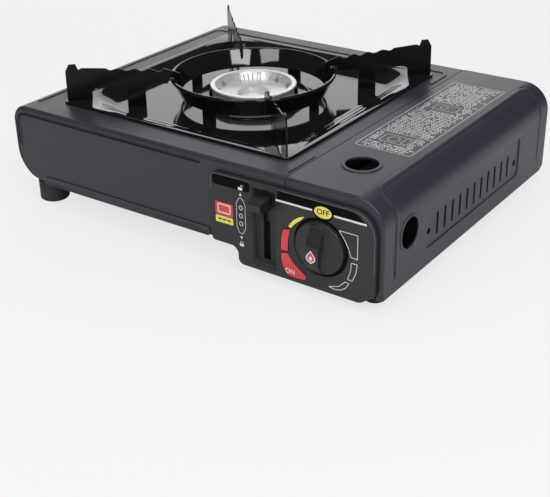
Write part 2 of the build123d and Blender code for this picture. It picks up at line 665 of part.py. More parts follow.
with BuildPart() as gas_jet:
    with BuildSketch(Plane.XY.offset(TUBE_Z)):
        with BuildLine():
            Polyline(
                (JET_X[0], BURNER_Y), (JET_X[0], BURNER_Y + 1.5), (JET_X[0] + 5, BURNER_Y + 4),
                (JET_X[1], BURNER_Y + 4), (JET_X[1], BURNER_Y), close=True,
            )
        make_face()
    revolve(axis=Axis((0, BURNER_Y, TUBE_Z), (1, 0, 0)))
gas_jet.part.label = "gas_jet"
export_step(gas_jet.part, "parts/gas_jet.step")

with BuildPart() as jet_holder:
    with BuildSketch(Plane.YZ.offset(62)):
        with Locations((BURNER_Y, (FLOOR + 40) / 2)):
            Rectangle(18, 40 - FLOOR)
        with Locations((BURNER_Y, TUBE_Z)):
            Circle(4, mode=Mode.SUBTRACT)
    extrude(amount=1.2)
    with BuildSketch(Plane.XY.offset(FLOOR)):
        with Locations((67.5, BURNER_Y)):
            Rectangle(11, 18)
    extrude(amount=1.2)
jet_holder.part.label = "jet_holder"
export_step(jet_holder.part, "parts/jet_holder.step")

# ---- burner --------------------------------------------------------------------------------------
CHAMBER_Z = (44.0, 73.0)

with BuildPart() as burner_body:
    with BuildSketch(Plane.XZ.offset(-BURNER_Y)):
        with BuildLine():
            Polyline(
                (BURNER_X, 44), (BURNER_X + 20, 44), (BURNER_X + BODY_R, 54), (BURNER_X + BODY_R, 73),
                (BURNER_X + BODY_R - 3, 73), (BURNER_X + BODY_R - 3, 55), (BURNER_X + 18, 47),
                (BURNER_X + 7, 47), (BURNER_X + 7, 40), (BURNER_X, 40), close=True,
            )
        make_face()
    revolve(axis=Axis((BURNER_X, BURNER_Y, 0), (0, 0, 1)))
    with BuildSketch(Plane.XY.offset(TUBE_Z)):
        with Locations((BURNER_X, BURNER_Y)):
            Circle(10)
    extrude(amount=44 - TUBE_Z)
    with BuildSketch(Plane.YZ.offset(BURNER_X - 10)):
        with Locations((BURNER_Y, TUBE_Z)):
            Circle(TUBE_R)
    extrude(amount=TUBE_MOUTH_X - BURNER_X + 10)
    with BuildSketch(Plane.YZ.offset(BURNER_X - 7)):
        with Locations((BURNER_Y, TUBE_Z)):
            Circle(TUBE_R - 2)
    extrude(amount=TUBE_MOUTH_X - BURNER_X + 10, mode=Mode.SUBTRACT)
    with BuildSketch(Plane.XY.offset(TUBE_Z)):
        with Locations((BURNER_X, BURNER_Y)):
            Circle(7)
    extrude(amount=20, mode=Mode.SUBTRACT)
burner_body.part.label = "burner_body"
export_step(burner_body.part, "parts/burner_body.step")

PORTS = 64
BOWL_PORTS = 8

with BuildPart() as burner_head:
    with BuildSketch(Plane.XZ.offset(-BURNER_Y)):
        with BuildLine():
            Polyline(
                (BURNER_X + 13.5, 74), (BURNER_X + 13.5, 78.5), (BURNER_X + 16, 79.2),
                (BURNER_X + 27.5, 80.6),
                (BURNER_X + 30.8, 86.4), (BURNER_X + 31.6, RIM_Z), (BURNER_X + 35, RIM_Z),
                (BURNER_X + RIM_R, 86.6),
                (BURNER_X + 34.9, 84.9), (BURNER_X + 33.4, 84.2), (BURNER_X + 33.4, 76.2),
                (BURNER_X + 34.4, 75.4),
                (BURNER_X + 34.4, 73), (BURNER_X + BODY_R - 3, 73), (BURNER_X + BODY_R - 3, 71),
                (BURNER_X + BODY_R - 4.5, 71), (BURNER_X + BODY_R - 4.5, 74), close=True,
            )
        make_face()
    revolve(axis=Axis((BURNER_X, BURNER_Y, 0), (0, 0, 1)))
    # hollow between the bowl and the skirt is reached by upright flame slots
    with BuildSketch(Plane.XY.offset(76.2)):
        with Locations((BURNER_X, BURNER_Y)):
            with PolarLocations(32.6, PORTS):
                Rectangle(3.2, 1.5)
    extrude(amount=7.6, mode=Mode.SUBTRACT)
    # small ports on the bowl's wall, in groups
    with BuildSketch(Plane.XY.offset(79.6)):
        with Locations((BURNER_X, BURNER_Y)):
            for turn in (-7, 0, 7):
                with PolarLocations(29.0, BOWL_PORTS, start_angle=turn):
                    SlotOverall(3.2, 1.1)
    extrude(amount=10, mode=Mode.SUBTRACT)
burner_head.part.label = "burner_head"
export_step(burner_head.part, "parts/burner_head.step")

with BuildPart() as burner_core:
    with BuildSketch(Plane.XZ.offset(-BURNER_Y)):
        with BuildLine():
            Polyline(
                (BURNER_X, 70), (BURNER_X + 13.2, 70), (BURNER_X + 13.2, 74.5), (BURNER_X + 9, 76.6),
                (BURNER_X, 77.2), close=True,
            )
        make_face()
    revolve(axis=Axis((BURNER_X, BURNER_Y, 0), (0, 0, 1)))
    with BuildSketch(Plane.XY.offset(74.6)):
        with Locations((BURNER_X, BURNER_Y)):
            with PolarLocations(9, 12):
                Rectangle(7, 1.1)
    extrude(amount=4, mode=Mode.SUBTRACT)
    # stem that stands on the chamber's floor
    with BuildSketch(Plane.XY.offset(47)):
        with Locations((BURNER_X, BURNER_Y)):
            with PolarLocations(10, 3):
                Circle(2)
    extrude(amount=23)
burner_core.part.label = "burner_core"
export_step(burner_core.part, "parts/burner_core.step")

with BuildPart() as burner_bracket:
    with BuildSketch(Plane.YZ.offset(BURNER_X - 12)):
        with BuildLine():
            Polyline(
                (BURNER_Y - 46, BASE_Z), (BURNER_Y - 46, BASE_Z + 1.2), (BURNER_Y - 37.2, BASE_Z + 1.2),
                (BURNER_Y - 37.2, 44), (BURNER_Y + 37.2, 44), (BURNER_Y + 37.2, BASE_Z + 1.2),
                (BURNER_Y + 46, BASE_Z + 1.2), (BURNER_Y + 46, BASE_Z), (BURNER_Y + 36, BASE_Z),
                (BURNER_Y + 36, 42.8), (BURNER_Y - 36, 42.8), (BURNER_Y - 36, BASE_Z), close=True,
            )
        make_face()
    extrude(amount=24)
    with BuildSketch(Plane.XY.offset(40)):
        with Locations((BURNER_X, BURNER_Y)):
            Circle(10.1)
    extrude(amount=6, mode=Mode.SUBTRACT)
burner_bracket.part.label = "burner_bracket"
export_step(burner_bracket.part, "parts/burner_bracket.step")

# ---- drip tray -----------------------------------------------------------------------------------
TRAY_T = 0.9
TRAY_CORNER_R = 6.0
DISH_TOP_HALF, DISH_TOP_R = 102.5, 38.0         # the dish where it leaves the border
DISH_FLOOR_HALF, DISH_FLOOR_R = 85.5, 21.0      # and at its floor
COLLAR_TOP = DISH_FLOOR + 4.5
COLLAR_R, COLLAR_FOOT_R = 44.0, 48.5
COLLAR_HEM = 1.5                                # floor that is made with the collar


def dish(drop):
    """The dish's hollow, a rounded square that narrows to its floor, lowered by drop."""
    with BuildPart() as hollow:
        for z, half, corner in (
            (TRAY_TOP, DISH_TOP_HALF, DISH_TOP_R), (DISH_FLOOR, DISH_FLOOR_HALF, DISH_FLOOR_R),
        ):
            with BuildSketch(Plane.XY.offset(z - drop)):
                with Locations((BURNER_X, BURNER_Y)):
                    RectangleRounded(2 * half, 2 * half, corner)
        loft(ruled=True)
        fillet(hollow.faces().sort_by(Axis.Z)[0].edges(), radius=12)
    return hollow.part


def collar_line(drop):
    """The collar round the burner, from its hole out to the dish's floor, lowered by drop."""
    x = BURNER_X
    return FilletPolyline(
        (x + TRAY_HOLE_R, COLLAR_TOP - drop), (x + COLLAR_R, COLLAR_TOP - drop),
        (x + COLLAR_FOOT_R, DISH_FLOOR - drop),
        (x + COLLAR_FOOT_R + COLLAR_HEM, DISH_FLOOR - drop), radius=1.5,
    )


with BuildPart() as drip_tray:
    add(dish(TRAY_T))
    # border, resting on the deck by its turned-down edge
    with BuildSketch(Plane.XY.offset(DECK_Z)):
        with Locations((BURNER_X, BURNER_Y)):
            inner_half = TRAY_HALF - TRAY_T
            RectangleRounded(2 * TRAY_HALF, 2 * TRAY_HALF, TRAY_CORNER_R)
            RectangleRounded(2 * inner_half, 2 * inner_half, TRAY_CORNER_R - TRAY_T, mode=Mode.SUBTRACT)
    extrude(amount=TRAY_TOP - DECK_Z)
    with BuildSketch(Plane.XY.offset(TRAY_TOP - TRAY_T)):
        with Locations((BURNER_X, BURNER_Y)):
            RectangleRounded(2 * TRAY_HALF, 2 * TRAY_HALF, TRAY_CORNER_R)
    extrude(amount=TRAY_T)
    fillet(drip_tray.faces().sort_by(Axis.Z)[-1].outer_wire().edges(), radius=0.8)
    add(dish(0), mode=Mode.SUBTRACT)
    # hole with its collar, and a notch for the electrode
    with BuildSketch(Plane.XY.offset(DECK_Z - 20)):
        with Locations((BURNER_X, BURNER_Y)):
            Circle(COLLAR_FOOT_R + COLLAR_HEM)
    extrude(amount=40, mode=Mode.SUBTRACT)
    with BuildSketch(Plane.XZ.offset(-BURNER_Y)):
        with BuildLine() as section:
            upper, lower = collar_line(0), collar_line(TRAY_T)
            Line(upper @ 0, lower @ 0)
            Line(upper @ 1, lower @ 1)
        make_face(section.line)
    revolve(axis=Axis((BURNER_X, BURNER_Y, 0), (0, 0, 1)))
    with BuildSketch(Plane.XY.offset(DECK_Z - 20)):
        with Locations((ELECTRODE_X, BURNER_Y)):
            Circle(5)
    extrude(amount=40, mode=Mode.SUBTRACT)
drip_tray.part.label = "drip_tray"
export_step(drip_tray.part, "parts/drip_tray.step")

# ---- pan support ---------------------------------------------------------------------------------
LEG_W = 12.5              # the ring's four legs, cut from its own sheet

with BuildPart() as support_ring:
    with BuildSketch(Plane.XZ.offset(-BURNER_Y)):
        with BuildLine():
            Polyline(
                (BURNER_X + RING_FOOT_R, RING_FOOT), (BURNER_X + RING_R - RING_T / 2, RING_TOP),
                (BURNER_X + RING_R + RING_T / 2, RING_TOP),
                (BURNER_X + RING_FOOT_R + RING_T, RING_FOOT), close=True,
            )
        make_face()
        with Locations((BURNER_X + RING_R, RING_TOP)):
            Circle(LIP_R)
    revolve(axis=Axis((BURNER_X, BURNER_Y, 0), (0, 0, 1)))
    with BuildSketch(Plane.XY.offset(DISH_FLOOR + 0.05)):
        with Locations((BURNER_X, BURNER_Y)):
            Rectangle(LEG_W, 3 * RING_R)
            Rectangle(3 * RING_R, LEG_W)
            Circle(RING_FOOT_R + RING_T, mode=Mode.INTERSECT)
            Circle(RING_FOOT_R, mode=Mode.SUBTRACT)
    extrude(amount=RING_FOOT - DISH_FLOOR + 0.5)
support_ring.part.label = "support_ring"
export_step(support_ring.part, "parts/support_ring.step")

# a wing's outline: distance from the burner's axis, height over the deck
LIP_TOP_Z = RING_TOP - DECK_Z + LIP_R + 0.05
TEETH = [(77.6, 20.9), (84.4, 23.6), (89.3, 22.1), (95.5, 24.4), (101.2, 23.3), (108.2, 25.4), (114.8, 24.5)]
WINGS = {"wing_rear_right": 45, "wing_rear_left": 135, "wing_front_left": 225, "wing_front_right": 315}

for wing_name, turn in WINGS.items():
    out = Vector(cos(radians(turn)), sin(radians(turn)), 0)
    side = Vector(-sin(radians(turn)), cos(radians(turn)), 0)
    wing_face = Vector(BURNER_X, BURNER_Y, DECK_Z) + side * (RING_T / 2)
    wing_plane = Plane(origin=wing_face, x_dir=out, z_dir=-side)
    if wing_plane.y_dir.Z < 0:
        wing_plane = Plane(origin=wing_plane.origin, x_dir=out, z_dir=side)
    with BuildPart() as wing:
        with BuildSketch(wing_plane):
            with BuildLine():
                teeth = Spline((72.3, 22.9), *TEETH, (118.0, 26.3))
                Polyline(
                    teeth @ 1, (137, 27.9), (140, 26.7), (141.6, 31.5), (147, 31.5), (150.0, 26), (150.3, 2),
                    (130.5, 2), (130.2, 7.8), (127.6, 10.4), (117, 10.4),
                )
                ThreePointArc((117, 10.4), (110, 6.2), (103, 9.4))
                Polyline(
                    (103, 9.4), (103, -6.9), (88, -6.9), (88, 10.2), (69.6, 10.2), (69.6, LIP_TOP_Z),
                    (63.4, LIP_TOP_Z), (60.6, 8), (58.4, 8), (59.6, 18), (64.5, 20.2), teeth @ 0,
                )
            make_face()
        extrude(amount=RING_T)
    wing.part.label = wing_name
    export_step(wing.part, f"parts/{wing_name}.step")

# ---- lid -----------------------------------------------------------------------------------------
FRONT_FLANGE = (8.6, 5.0)      # height under the top, width beside the right wall
REAR_FLANGE = (5.0, 3.2)
VENT = (-66.0, 91.0, 22.0, 56.0)
TOP_HOLE = (126.4, FRONT_Y + 47.1)
SIDE_HOLE = (FRONT_Y + 34.7, DECK_Z - 34.7)

with BuildPart() as lid:
    with BuildSketch(front_plane(REAR_Y)):
        outline(
            [(LID_LEFT, DECK_Z), (HALF_W, DECK_Z), (HALF_W, BAY_Z), (LID_LEFT, BAY_Z)], [0, LID_R, 0, 0],
        )
    extrude(amount=BODY_D)
    fillet([e for f in lid.faces().filter_by(Axis.Y) for e in f.edges()
            if e.center().Z > DECK_Z - 1 or e.center().X > LID_LEFT + 50 and e.center().Z > BAY_Z + 5],
           radius=2)
    open_sides = [
        lid.faces().filter_by(Axis.X).sort_by(Axis.X)[0], lid.faces().filter_by(Axis.Z).sort_by(Axis.Z)[0],
    ]
    offset(amount=-SHEET, openings=open_sides)
    # the end walls are narrow flanges, the rear one narrow enough to swing past the floor's lip
    for y, drop, width in ((FRONT_Y + 5, *FRONT_FLANGE), (REAR_Y + 5, *REAR_FLANGE)):
        with BuildSketch(front_plane(y)):
            outline(
                [(LID_LEFT - 5, DECK_Z - drop), (HALF_W - width, DECK_Z - drop), (HALF_W - width, 0),
                 (LID_LEFT - 5, 0)],
                [0, LID_R - width, 0, 0],
            )
        extrude(amount=10, mode=Mode.SUBTRACT)
    # sight holes with raised rims
    with BuildSketch(Plane.XY.offset(DECK_Z - 0.5)):
        with Locations(TOP_HOLE):
            Circle(14.5)
    extrude(amount=1.3)
    with BuildSketch(Plane.YZ.offset(HALF_W - 0.5)):
        with Locations(SIDE_HOLE):
            Circle(13.5)
    extrude(amount=1.1)
    rims = lid.faces().filter_by(Axis.Z).sort_by(Axis.Z)[-1:]
    rims += lid.faces().filter_by(Axis.X).sort_by(Axis.X)[-1:]
    fillet([e for f in rims for e in f.edges()], radius=0.55)
    with BuildSketch(Plane.XY.offset(DECK_Z - 4)):
        with Locations(TOP_HOLE):
            Circle(12)
    extrude(amount=8, mode=Mode.SUBTRACT)
    with BuildSketch(Plane.YZ.offset(HALF_W - 4)):
        with Locations(SIDE_HOLE):
            Circle(11.5)
    extrude(amount=8, mode=Mode.SUBTRACT)
    # pressed-in vent field, backed inside so that the sheet keeps its thickness
    vent_y, vent_z = (VENT[0] + VENT[1]) / 2, (VENT[2] + VENT[3]) / 2
    with BuildSketch(Plane.YZ.offset(HALF_W - SHEET - 0.8)):
        with Locations((vent_y, vent_z)):
            RectangleRounded(VENT[1] - VENT[0], VENT[3] - VENT[2], 5)
    extrude(amount=0.8)
    with BuildSketch(Plane.YZ.offset(HALF_W - 0.8)):
        with Locations((vent_y, vent_z)):
            RectangleRounded(VENT[1] - VENT[0] - 2, VENT[3] - VENT[2] - 2, 4)
    extrude(amount=2, mode=Mode.SUBTRACT)
    with BuildSketch(Plane.YZ.offset(HALF_W - 5)):
        with GridLocations(11.75, 0, 11, 1):
            with Locations((11.3, 37)):
                SlotOverall(18, 3.2, rotation=90)
        with Locations((-60.4, 35.5), (82.7, 35.5)):
            Circle(2.6)
    extrude(amount=10, mode=Mode.SUBTRACT)
    # upright grooves near both ends of the side
    with BuildSketch(Plane.YZ.offset(HALF_W - 0.5)):
        with Locations((-109, 41), (129.5, 41)):
            SlotOverall(42, 2.2, rotation=90)
    extrude(amount=2, mode=Mode.SUBTRACT)
    # the side's rear corner is cut off so that it clears the table when the lid swings up
    with BuildSketch(Plane.YZ.offset(HALF_W - 10)):
        with BuildLine():
            Polyline((REAR_Y - 9, BAY_Z - 1), (REAR_Y + 1, BAY_Z + 5), (REAR_Y + 1, BAY_Z - 1), close=True)
        make_face()
    extrude(amount=20, mode=Mode.SUBTRACT)
lid.part.label = "lid"
export_step(lid.part, "parts/lid.step")

# ---- lid hinge -----------------------------------------------------------------------------------
BASE_KNUCKLES = [(104.0, 111.0), (126.0, 133.0)]
LID_KNUCKLES = [(111.4, 125.6), (133.4, 147.6)]

with BuildPart() as lid_hinge:
    for x0, x1 in LID_KNUCKLES:
        with BuildSketch(Plane.YZ.offset(x0)):
            with Locations((HINGE_Y, HINGE_Z)):
                Circle(HINGE_OUTER_R)
            with Locations((HINGE_Y - 3.0, (HINGE_Z + DECK_Z - SHEET) / 2)):
                Rectangle(1.0, DECK_Z - SHEET - HINGE_Z)
            with Locations((HINGE_Y - 8.0, DECK_Z - SHEET - 0.5)):
                Rectangle(11.0, 1.0)
            with Locations((HINGE_Y, HINGE_Z)):
                Circle(HINGE_PIN_R + 0.06, mode=Mode.SUBTRACT)
        extrude(amount=x1 - x0)
    with BuildSketch(Plane.XY.offset(DECK_Z - SHEET - 1)):
        with Locations(((LID_KNUCKLES[0][0] + LID_KNUCKLES[1][1]) / 2, HINGE_Y - 9.5)):
            Rectangle(LID_KNUCKLES[1][1] - LID_KNUCKLES[0][0], 8)
    extrude(amount=1)
lid_hinge.part.label = "lid_hinge"
export_step(lid_hinge.part, "parts/lid_hinge.step")

with BuildPart() as base_hinge:
    for x0, x1 in BASE_KNUCKLES:
        with BuildSketch(Plane.YZ.offset(x0)):
            bar([(HINGE_Y - 3, HINGE_Z), (HINGE_Y - 3, 68.5), (142.5, 61.5), (142.5, 42)], [2, 2], 1.0)
            with Locations((HINGE_Y, HINGE_Z)):
                Circle(HINGE_OUTER_R)
                Circle(HINGE_PIN_R, mode=Mode.SUBTRACT)
        extrude(amount=x1 - x0)
    with BuildSketch(front_plane(REAR_Y - 2 * SHEET)):
        with Locations(((BASE_KNUCKLES[0][0] + BASE_KNUCKLES[1][1]) / 2, 47)):
            Rectangle(BASE_KNUCKLES[1][1] - BASE_KNUCKLES[0][0], 10)
    extrude(amount=1)
base_hinge.part.label = "base_hinge"
export_step(base_hinge.part, "parts/base_hinge.step")

with BuildPart() as hinge_pin:
    with BuildSketch(Plane.YZ.offset(BASE_KNUCKLES[0][0] - 1)):
        with Locations((HINGE_Y, HINGE_Z)):
            Circle(HINGE_PIN_R)
    extrude(amount=LID_KNUCKLES[1][1] - BASE_KNUCKLES[0][0] + 2)
hinge_pin.part.label = "hinge_pin"
export_step(hinge_pin.part, "parts/hinge_pin.step")

# ---- feet and fasteners --------------------------------------------------------------------------
TALL_FOOT_R, SHORT_FOOT_R = 12.0, 8.0
FOOT_X = {"left": -151.0, "right": 157.0}
FOOT_Y = {"front": -109.0, "rear": 129.0}
SCREW_R = 1.8

# what the tall feet are shaped to sit against: the casing's curved corner and the floor
with BuildPart() as foot_seat:
    with BuildSketch(front_plane(REAR_Y)):
        outline(
            [(HALF_W, DECK_Z), (-HALF_W, DECK_Z), (-HALF_W, BASE_Z), (HALF_W, BASE_Z)],
            [0, TOP_R, BOTTOM_R, 0],
        )
        with Locations((FLOOR_LEFT + 50, BASE_Z)):
            Rectangle(100, 2 * SHEET)
    extrude(amount=BODY_D)

for side_name, foot_x in FOOT_X.items():
    for end_name, foot_y in FOOT_Y.items():
        tall = side_name == "left"
        foot_r = TALL_FOOT_R if tall else SHORT_FOOT_R
        with BuildPart() as foot:
            with BuildSketch():
                with Locations((foot_x, foot_y)):
                    Circle(foot_r)
            extrude(amount=30 if tall else BAY_Z)
            chamfer(foot.edges().sort_by(Axis.Z)[0], length=1.2)
            if tall:
                add(foot_seat.part, mode=Mode.SUBTRACT)
            with BuildSketch():
                with Locations((foot_x + (4 if tall else 0), foot_y)):
                    Circle(4.5)
            extrude(amount=4, mode=Mode.SUBTRACT)
            with BuildSketch():
                with Locations((foot_x + (4 if tall else 0), foot_y)):
                    Circle(SCREW_R)
            extrude(amount=40, mode=Mode.SUBTRACT)
        foot_name = f"foot_{end_name}_{side_name}"
        foot.part.label = foot_name
        export_step(foot.part, f"parts/{foot_name}.step")

with BuildPart() as foot_screws:
    for side_name, foot_x in FOOT_X.items():
        tall = side_name == "left"
        for foot_y in FOOT_Y.values():
            with BuildSketch(Plane.XY.offset(4)):
                with Locations((foot_x + (4 if tall else 0), foot_y)):
                    Circle(SCREW_R)
            extrude(amount=BASE_Z - SHEET - 4 if tall else BAY_Z - 4)
            with BuildSketch(Plane.XY.offset(1.8)):
                with Locations((foot_x + (4 if tall else 0), foot_y)):
                    Circle(3.6)
            extrude(amount=2.2)
foot_screws.part.label = "foot_screws"
export_step(foot_screws.part, "parts/foot_screws.step")


def pan_head(plane, points, head_r, head_h):
    """Pan heads standing on a plane, each with a cross slot."""
    with BuildSketch(plane) as heads:
        with Locations(*points):
            Circle(head_r)
    extrude(heads.sketch, amount=head_h)
    with BuildSketch(plane.offset(head_h * 0.55)) as crosses:
        with Locations(*points):
            Rectangle(head_r * 1.2, 0.7)
            Rectangle(0.7, head_r * 1.2)
    extrude(crosses.sketch, amount=head_h, mode=Mode.SUBTRACT)


with BuildPart() as bracket_screws:
    pan_head(
        Plane.XY.offset(BASE_Z + 1.2),
        [(BURNER_X, BURNER_Y - 41.5), (BURNER_X, BURNER_Y + 41.5)], 3.2, 2.0,
    )
bracket_screws.part.label = "bracket_screws"
export_step(bracket_screws.part, "parts/bracket_screws.step")

with BuildPart() as regulator_screws:
    pan_head(
        Plane(origin=(0, -108, 0), x_dir=(-1, 0, 0), z_dir=(0, 1, 0)),
        [(-116, 28.5), (-149, 28.5), (-149, 57.5)], 2.4, 2.0,
    )
regulator_screws.part.label = "regulator_screws"
export_step(regulator_screws.part, "parts/regulator_screws.step")
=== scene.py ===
"""Dressed model of a tabletop gas stove for one butane cartridge.

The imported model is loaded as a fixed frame: +Z is up, the front faces -Y and the origin is on the
table under the middle of the stove. Sizes in this file are millimetres unless a name says otherwise,
and every mesh is made in metres at its place in that frame.
"""
from __future__ import annotations

import json
import logging
import math
import random
from collections.abc import Iterator, Sequence
from contextlib import contextmanager
from dataclasses import dataclass, field
from enum import Enum
from typing import Any

import bmesh
import bpy
from mathutils import Matrix, Vector

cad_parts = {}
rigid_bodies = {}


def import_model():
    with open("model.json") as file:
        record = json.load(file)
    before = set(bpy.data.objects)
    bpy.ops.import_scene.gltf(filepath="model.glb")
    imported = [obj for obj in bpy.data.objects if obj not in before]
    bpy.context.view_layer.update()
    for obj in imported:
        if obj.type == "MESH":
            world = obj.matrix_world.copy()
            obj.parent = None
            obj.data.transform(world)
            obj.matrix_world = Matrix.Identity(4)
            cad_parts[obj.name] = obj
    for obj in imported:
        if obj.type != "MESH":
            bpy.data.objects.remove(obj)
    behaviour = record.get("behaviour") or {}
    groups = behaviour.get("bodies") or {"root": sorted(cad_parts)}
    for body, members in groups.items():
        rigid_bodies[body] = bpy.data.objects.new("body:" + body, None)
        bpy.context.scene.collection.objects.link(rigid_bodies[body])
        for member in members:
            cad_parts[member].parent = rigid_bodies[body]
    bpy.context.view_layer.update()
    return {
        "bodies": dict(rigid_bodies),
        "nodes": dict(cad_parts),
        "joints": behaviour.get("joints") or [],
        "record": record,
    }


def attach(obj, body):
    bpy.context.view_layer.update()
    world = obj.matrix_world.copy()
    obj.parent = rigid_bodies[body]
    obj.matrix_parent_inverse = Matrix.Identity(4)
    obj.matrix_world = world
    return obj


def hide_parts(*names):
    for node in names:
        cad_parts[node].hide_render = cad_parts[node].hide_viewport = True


LOG = logging.getLogger("stove")
MM = 0.001
SAME_PLACE = 1e-7  # metres between two places that count as one
MERGE = 0.002  # millimetres between points of a new mesh that become one
WELD = 0.004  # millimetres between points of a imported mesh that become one
FLAT = math.radians(0.4)  # faces that meet at less than this become one
CAPITAL_SHARE = 0.7  # height of a capital letter, of the size that the text is set in
BOLDNESS = 0.016  # how much letters are thickened, of their height
DUST_COLOUR = (0.35, 0.34, 0.33, 1.0)
WHITE = (1.0, 1.0, 1.0, 1.0)

Colour = tuple[float, float, float]
Point = tuple[float, float, float]
Flat = tuple[float, float]


class Body(Enum):
    """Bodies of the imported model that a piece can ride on."""

    BASE = "base"
    LID = "lid"
    LEVER = "lever"
    KNOB = "knob"
    TRAY = "tray"
    PAN_SUPPORT = "pan_support"
    PUSHER = "pusher"


class Slot(Enum):
    """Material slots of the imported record."""

    PAINT = "casing_paint"
    ENAMEL = "enamel"
    PANEL = "panel_plastic"
    KNOB = "knob_plastic"
    FOOT = "foot_plastic"
    BURNER = "burner_alloy"
    CAST = "cast_alloy"
    PIPE = "pipe_alloy"
    BRASS = "brass"
    STEEL = "plain_steel"
    RUBBER = "rubber"
    CERAMIC = "ceramic"
    IGNITER = "igniter_plastic"
    BLACK_STEEL = "black_steel"


class Ink(Enum):
    """Looks without a slot of their own in the record: prints, dark bands, painted shade, painted highlights
    and the wings' satin enamel.
    """

    WHITE = "white_ink"
    YELLOW = "yellow_ink"
    RED = "red_ink"
    BLACK = "black_ink"
    # dark bands on the panel's top, and a painted shadow ring in the gap round the knob
    FILM = "black_film"
    # painted shade: dark strips for the shade of the front's pressed line and rounded left end
    CREASE = "shaded_crease"
    # painted highlight: pale lines along the panel's lit edges
    EDGE = "edge_line"
    WING = "wing_enamel"


class Face(Enum):
    """Surfaces that carry a print, with the outward direction of each."""

    PANEL = (0.0, -1.0, 0.0)
    TOP = (0.0, 0.0, 1.0)


# ---- bench: small tools around Blender's operators -------------------------------------------------
def at(x: float, y: float, z: float) -> Vector:
    """Returns a place given in millimetres as a vector in metres."""
    return Vector((x, y, z)) * MM


def only(obj: bpy.types.Object) -> None:
    """Makes one object the only selected and the active one."""
    bpy.ops.object.select_all(action="DESELECT")
    obj.select_set(True)
    bpy.context.view_layer.objects.active = obj


@contextmanager
def editing(obj: bpy.types.Object) -> Iterator[None]:
    """Opens an object in edit mode with all of it selected, and closes it again.

    Args:
        obj: the mesh object to edit.
    """
    only(obj)
    bpy.ops.object.mode_set(mode="EDIT")
    bpy.ops.mesh.select_all(action="SELECT")
    try:
        yield
    finally:
        bpy.ops.object.mode_set(mode="OBJECT")


def named(name: str) -> bpy.types.Object:
    """Gives the active object and its data a name, and returns the object."""
    obj = bpy.context.object
    obj.name = obj.data.name = name
    return obj


def settle(obj: bpy.types.Object) -> None:
    """Applies an object's place, turn and size to its mesh."""
    only(obj)
    bpy.ops.object.transform_apply(location=True, rotation=True, scale=True)


def modify(obj: bpy.types.Object, kind: str, **settings: Any) -> None:
    """Adds a modifier and applies it.

    Args:
        obj: the object to change.
        kind: Blender's name for the modifier.
        **settings: the modifier's own settings.
    """
    only(obj)
    bpy.ops.object.modifier_add(type=kind)
    modifier = obj.modifiers[-1]
    for name, value in settings.items():
        setattr(modifier, name, value)
    bpy.ops.object.modifier_apply(modifier=modifier.name)


def smooth(obj: bpy.types.Object, degrees: float = 35.0) -> None:
    """Shades an object smooth, with edges sharper than the angle kept crisp."""
    only(obj)
    bpy.ops.object.shade_smooth_by_angle(angle=math.radians(degrees))


def mend(obj: bpy.types.Object) -> None:
    """Merges doubled points and turns all faces outwards."""
    with editing(obj):
        bpy.ops.mesh.remove_doubles(threshold=MERGE * MM)
        bpy.ops.mesh.normals_make_consistent(inside=False)


def draw_wire(name: str, points: Sequence[Vector], closed: bool = False) -> bpy.types.Object:
    """Draws a line of edges, point after point.

    Args:
        name: the new object's name.
        points: places in metres.
        closed: whether the last point joins the first.

    Returns:
        The new object.
    """
    bpy.ops.object.select_all(action="DESELECT")
    bpy.ops.mesh.primitive_plane_add(size=0.002, location=points[0])
    obj = named(name)
    settle(obj)
    with editing(obj):
        bpy.ops.mesh.merge(type="CENTER")
        for before, after in zip(points, points[1:]):
            bpy.ops.mesh.extrude_region_move(TRANSFORM_OT_translate={"value": after - before})
        if closed:
            bpy.ops.mesh.select_all(action="DESELECT")
            mesh = bmesh.from_edit_mesh(obj.data)
            for vertex in mesh.verts:
                gap = min((vertex.co - end).length for end in (points[0], points[-1]))
                vertex.select = gap < SAME_PLACE
            mesh.select_flush_mode()
            bmesh.update_edit_mesh(obj.data)
            bpy.ops.mesh.edge_face_add()
    return obj


def plate(name: str, points: Sequence[Vector], depth: Vector) -> bpy.types.Object:
    """Makes a flat plate from its outline.

    Args:
        name: the new object's name.
        points: the outline, in metres.
        depth: how far the plate is drawn out, in metres.

    Returns:
        The new object.
    """
    obj = draw_wire(name, points, closed=True)
    with editing(obj):
        bpy.ops.mesh.edge_face_add()
        bpy.ops.mesh.select_all(action="SELECT")
        bpy.ops.mesh.extrude_region_move(TRANSFORM_OT_translate={"value": depth})
        bpy.ops.mesh.select_all(action="SELECT")
        bpy.ops.mesh.normals_make_consistent(inside=False)
    return obj


def turned(name: str, section: Sequence[Flat], centre: Flat, steps: int = 128) -> bpy.types.Object:
    """Turns a closed section about an upright axis.

    Args:
        name: the new object's name.
        section: radius and height of each corner, in millimetres.
        centre: X and Y of the axis, in millimetres.
        steps: how many segments the circle has.

    Returns:
        The new object.
    """
    points = [at(centre[0] + radius, centre[1], height) for radius, height in section]
    obj = draw_wire(name, points, closed=True)
    with editing(obj):
        bpy.ops.mesh.spin(steps=steps, angle=2 * math.pi, center=at(*centre, 0.0), axis=(0, 0, 1))
    mend(obj)
    return obj


def tube(name: str, points: Sequence[Vector], radius: float, closed: bool = False) -> bpy.types.Object:
    """Makes a round bar along a line.

    Args:
        name: the new object's name.
        points: the line, in metres.
        radius: in millimetres.
        closed: whether the line joins up.

    Returns:
        The new object, as a mesh.
    """
    only(draw_wire(name, points, closed))
    bpy.ops.object.convert(target="CURVE")
    curve = bpy.context.object.data
    curve.bevel_depth = radius * MM
    curve.bevel_resolution = 2
    curve.use_fill_caps = not closed
    bpy.ops.object.convert(target="MESH")
    obj = named(name)
    mend(obj)
    return obj


def flatten(obj: bpy.types.Object, through: Vector, normal: Vector, keep: float) -> None:
    """Presses a piece flat against a surface.

    Args:
        obj: the object to press.
        through: a point on the surface, in metres.
        normal: the surface's outward direction, along one axis.
        keep: the share of its height that is left.
    """
    factor = [keep if abs(part) > 0.5 else 1.0 for part in normal]
    with editing(obj):
        bpy.ops.transform.resize(value=factor, center_override=through)


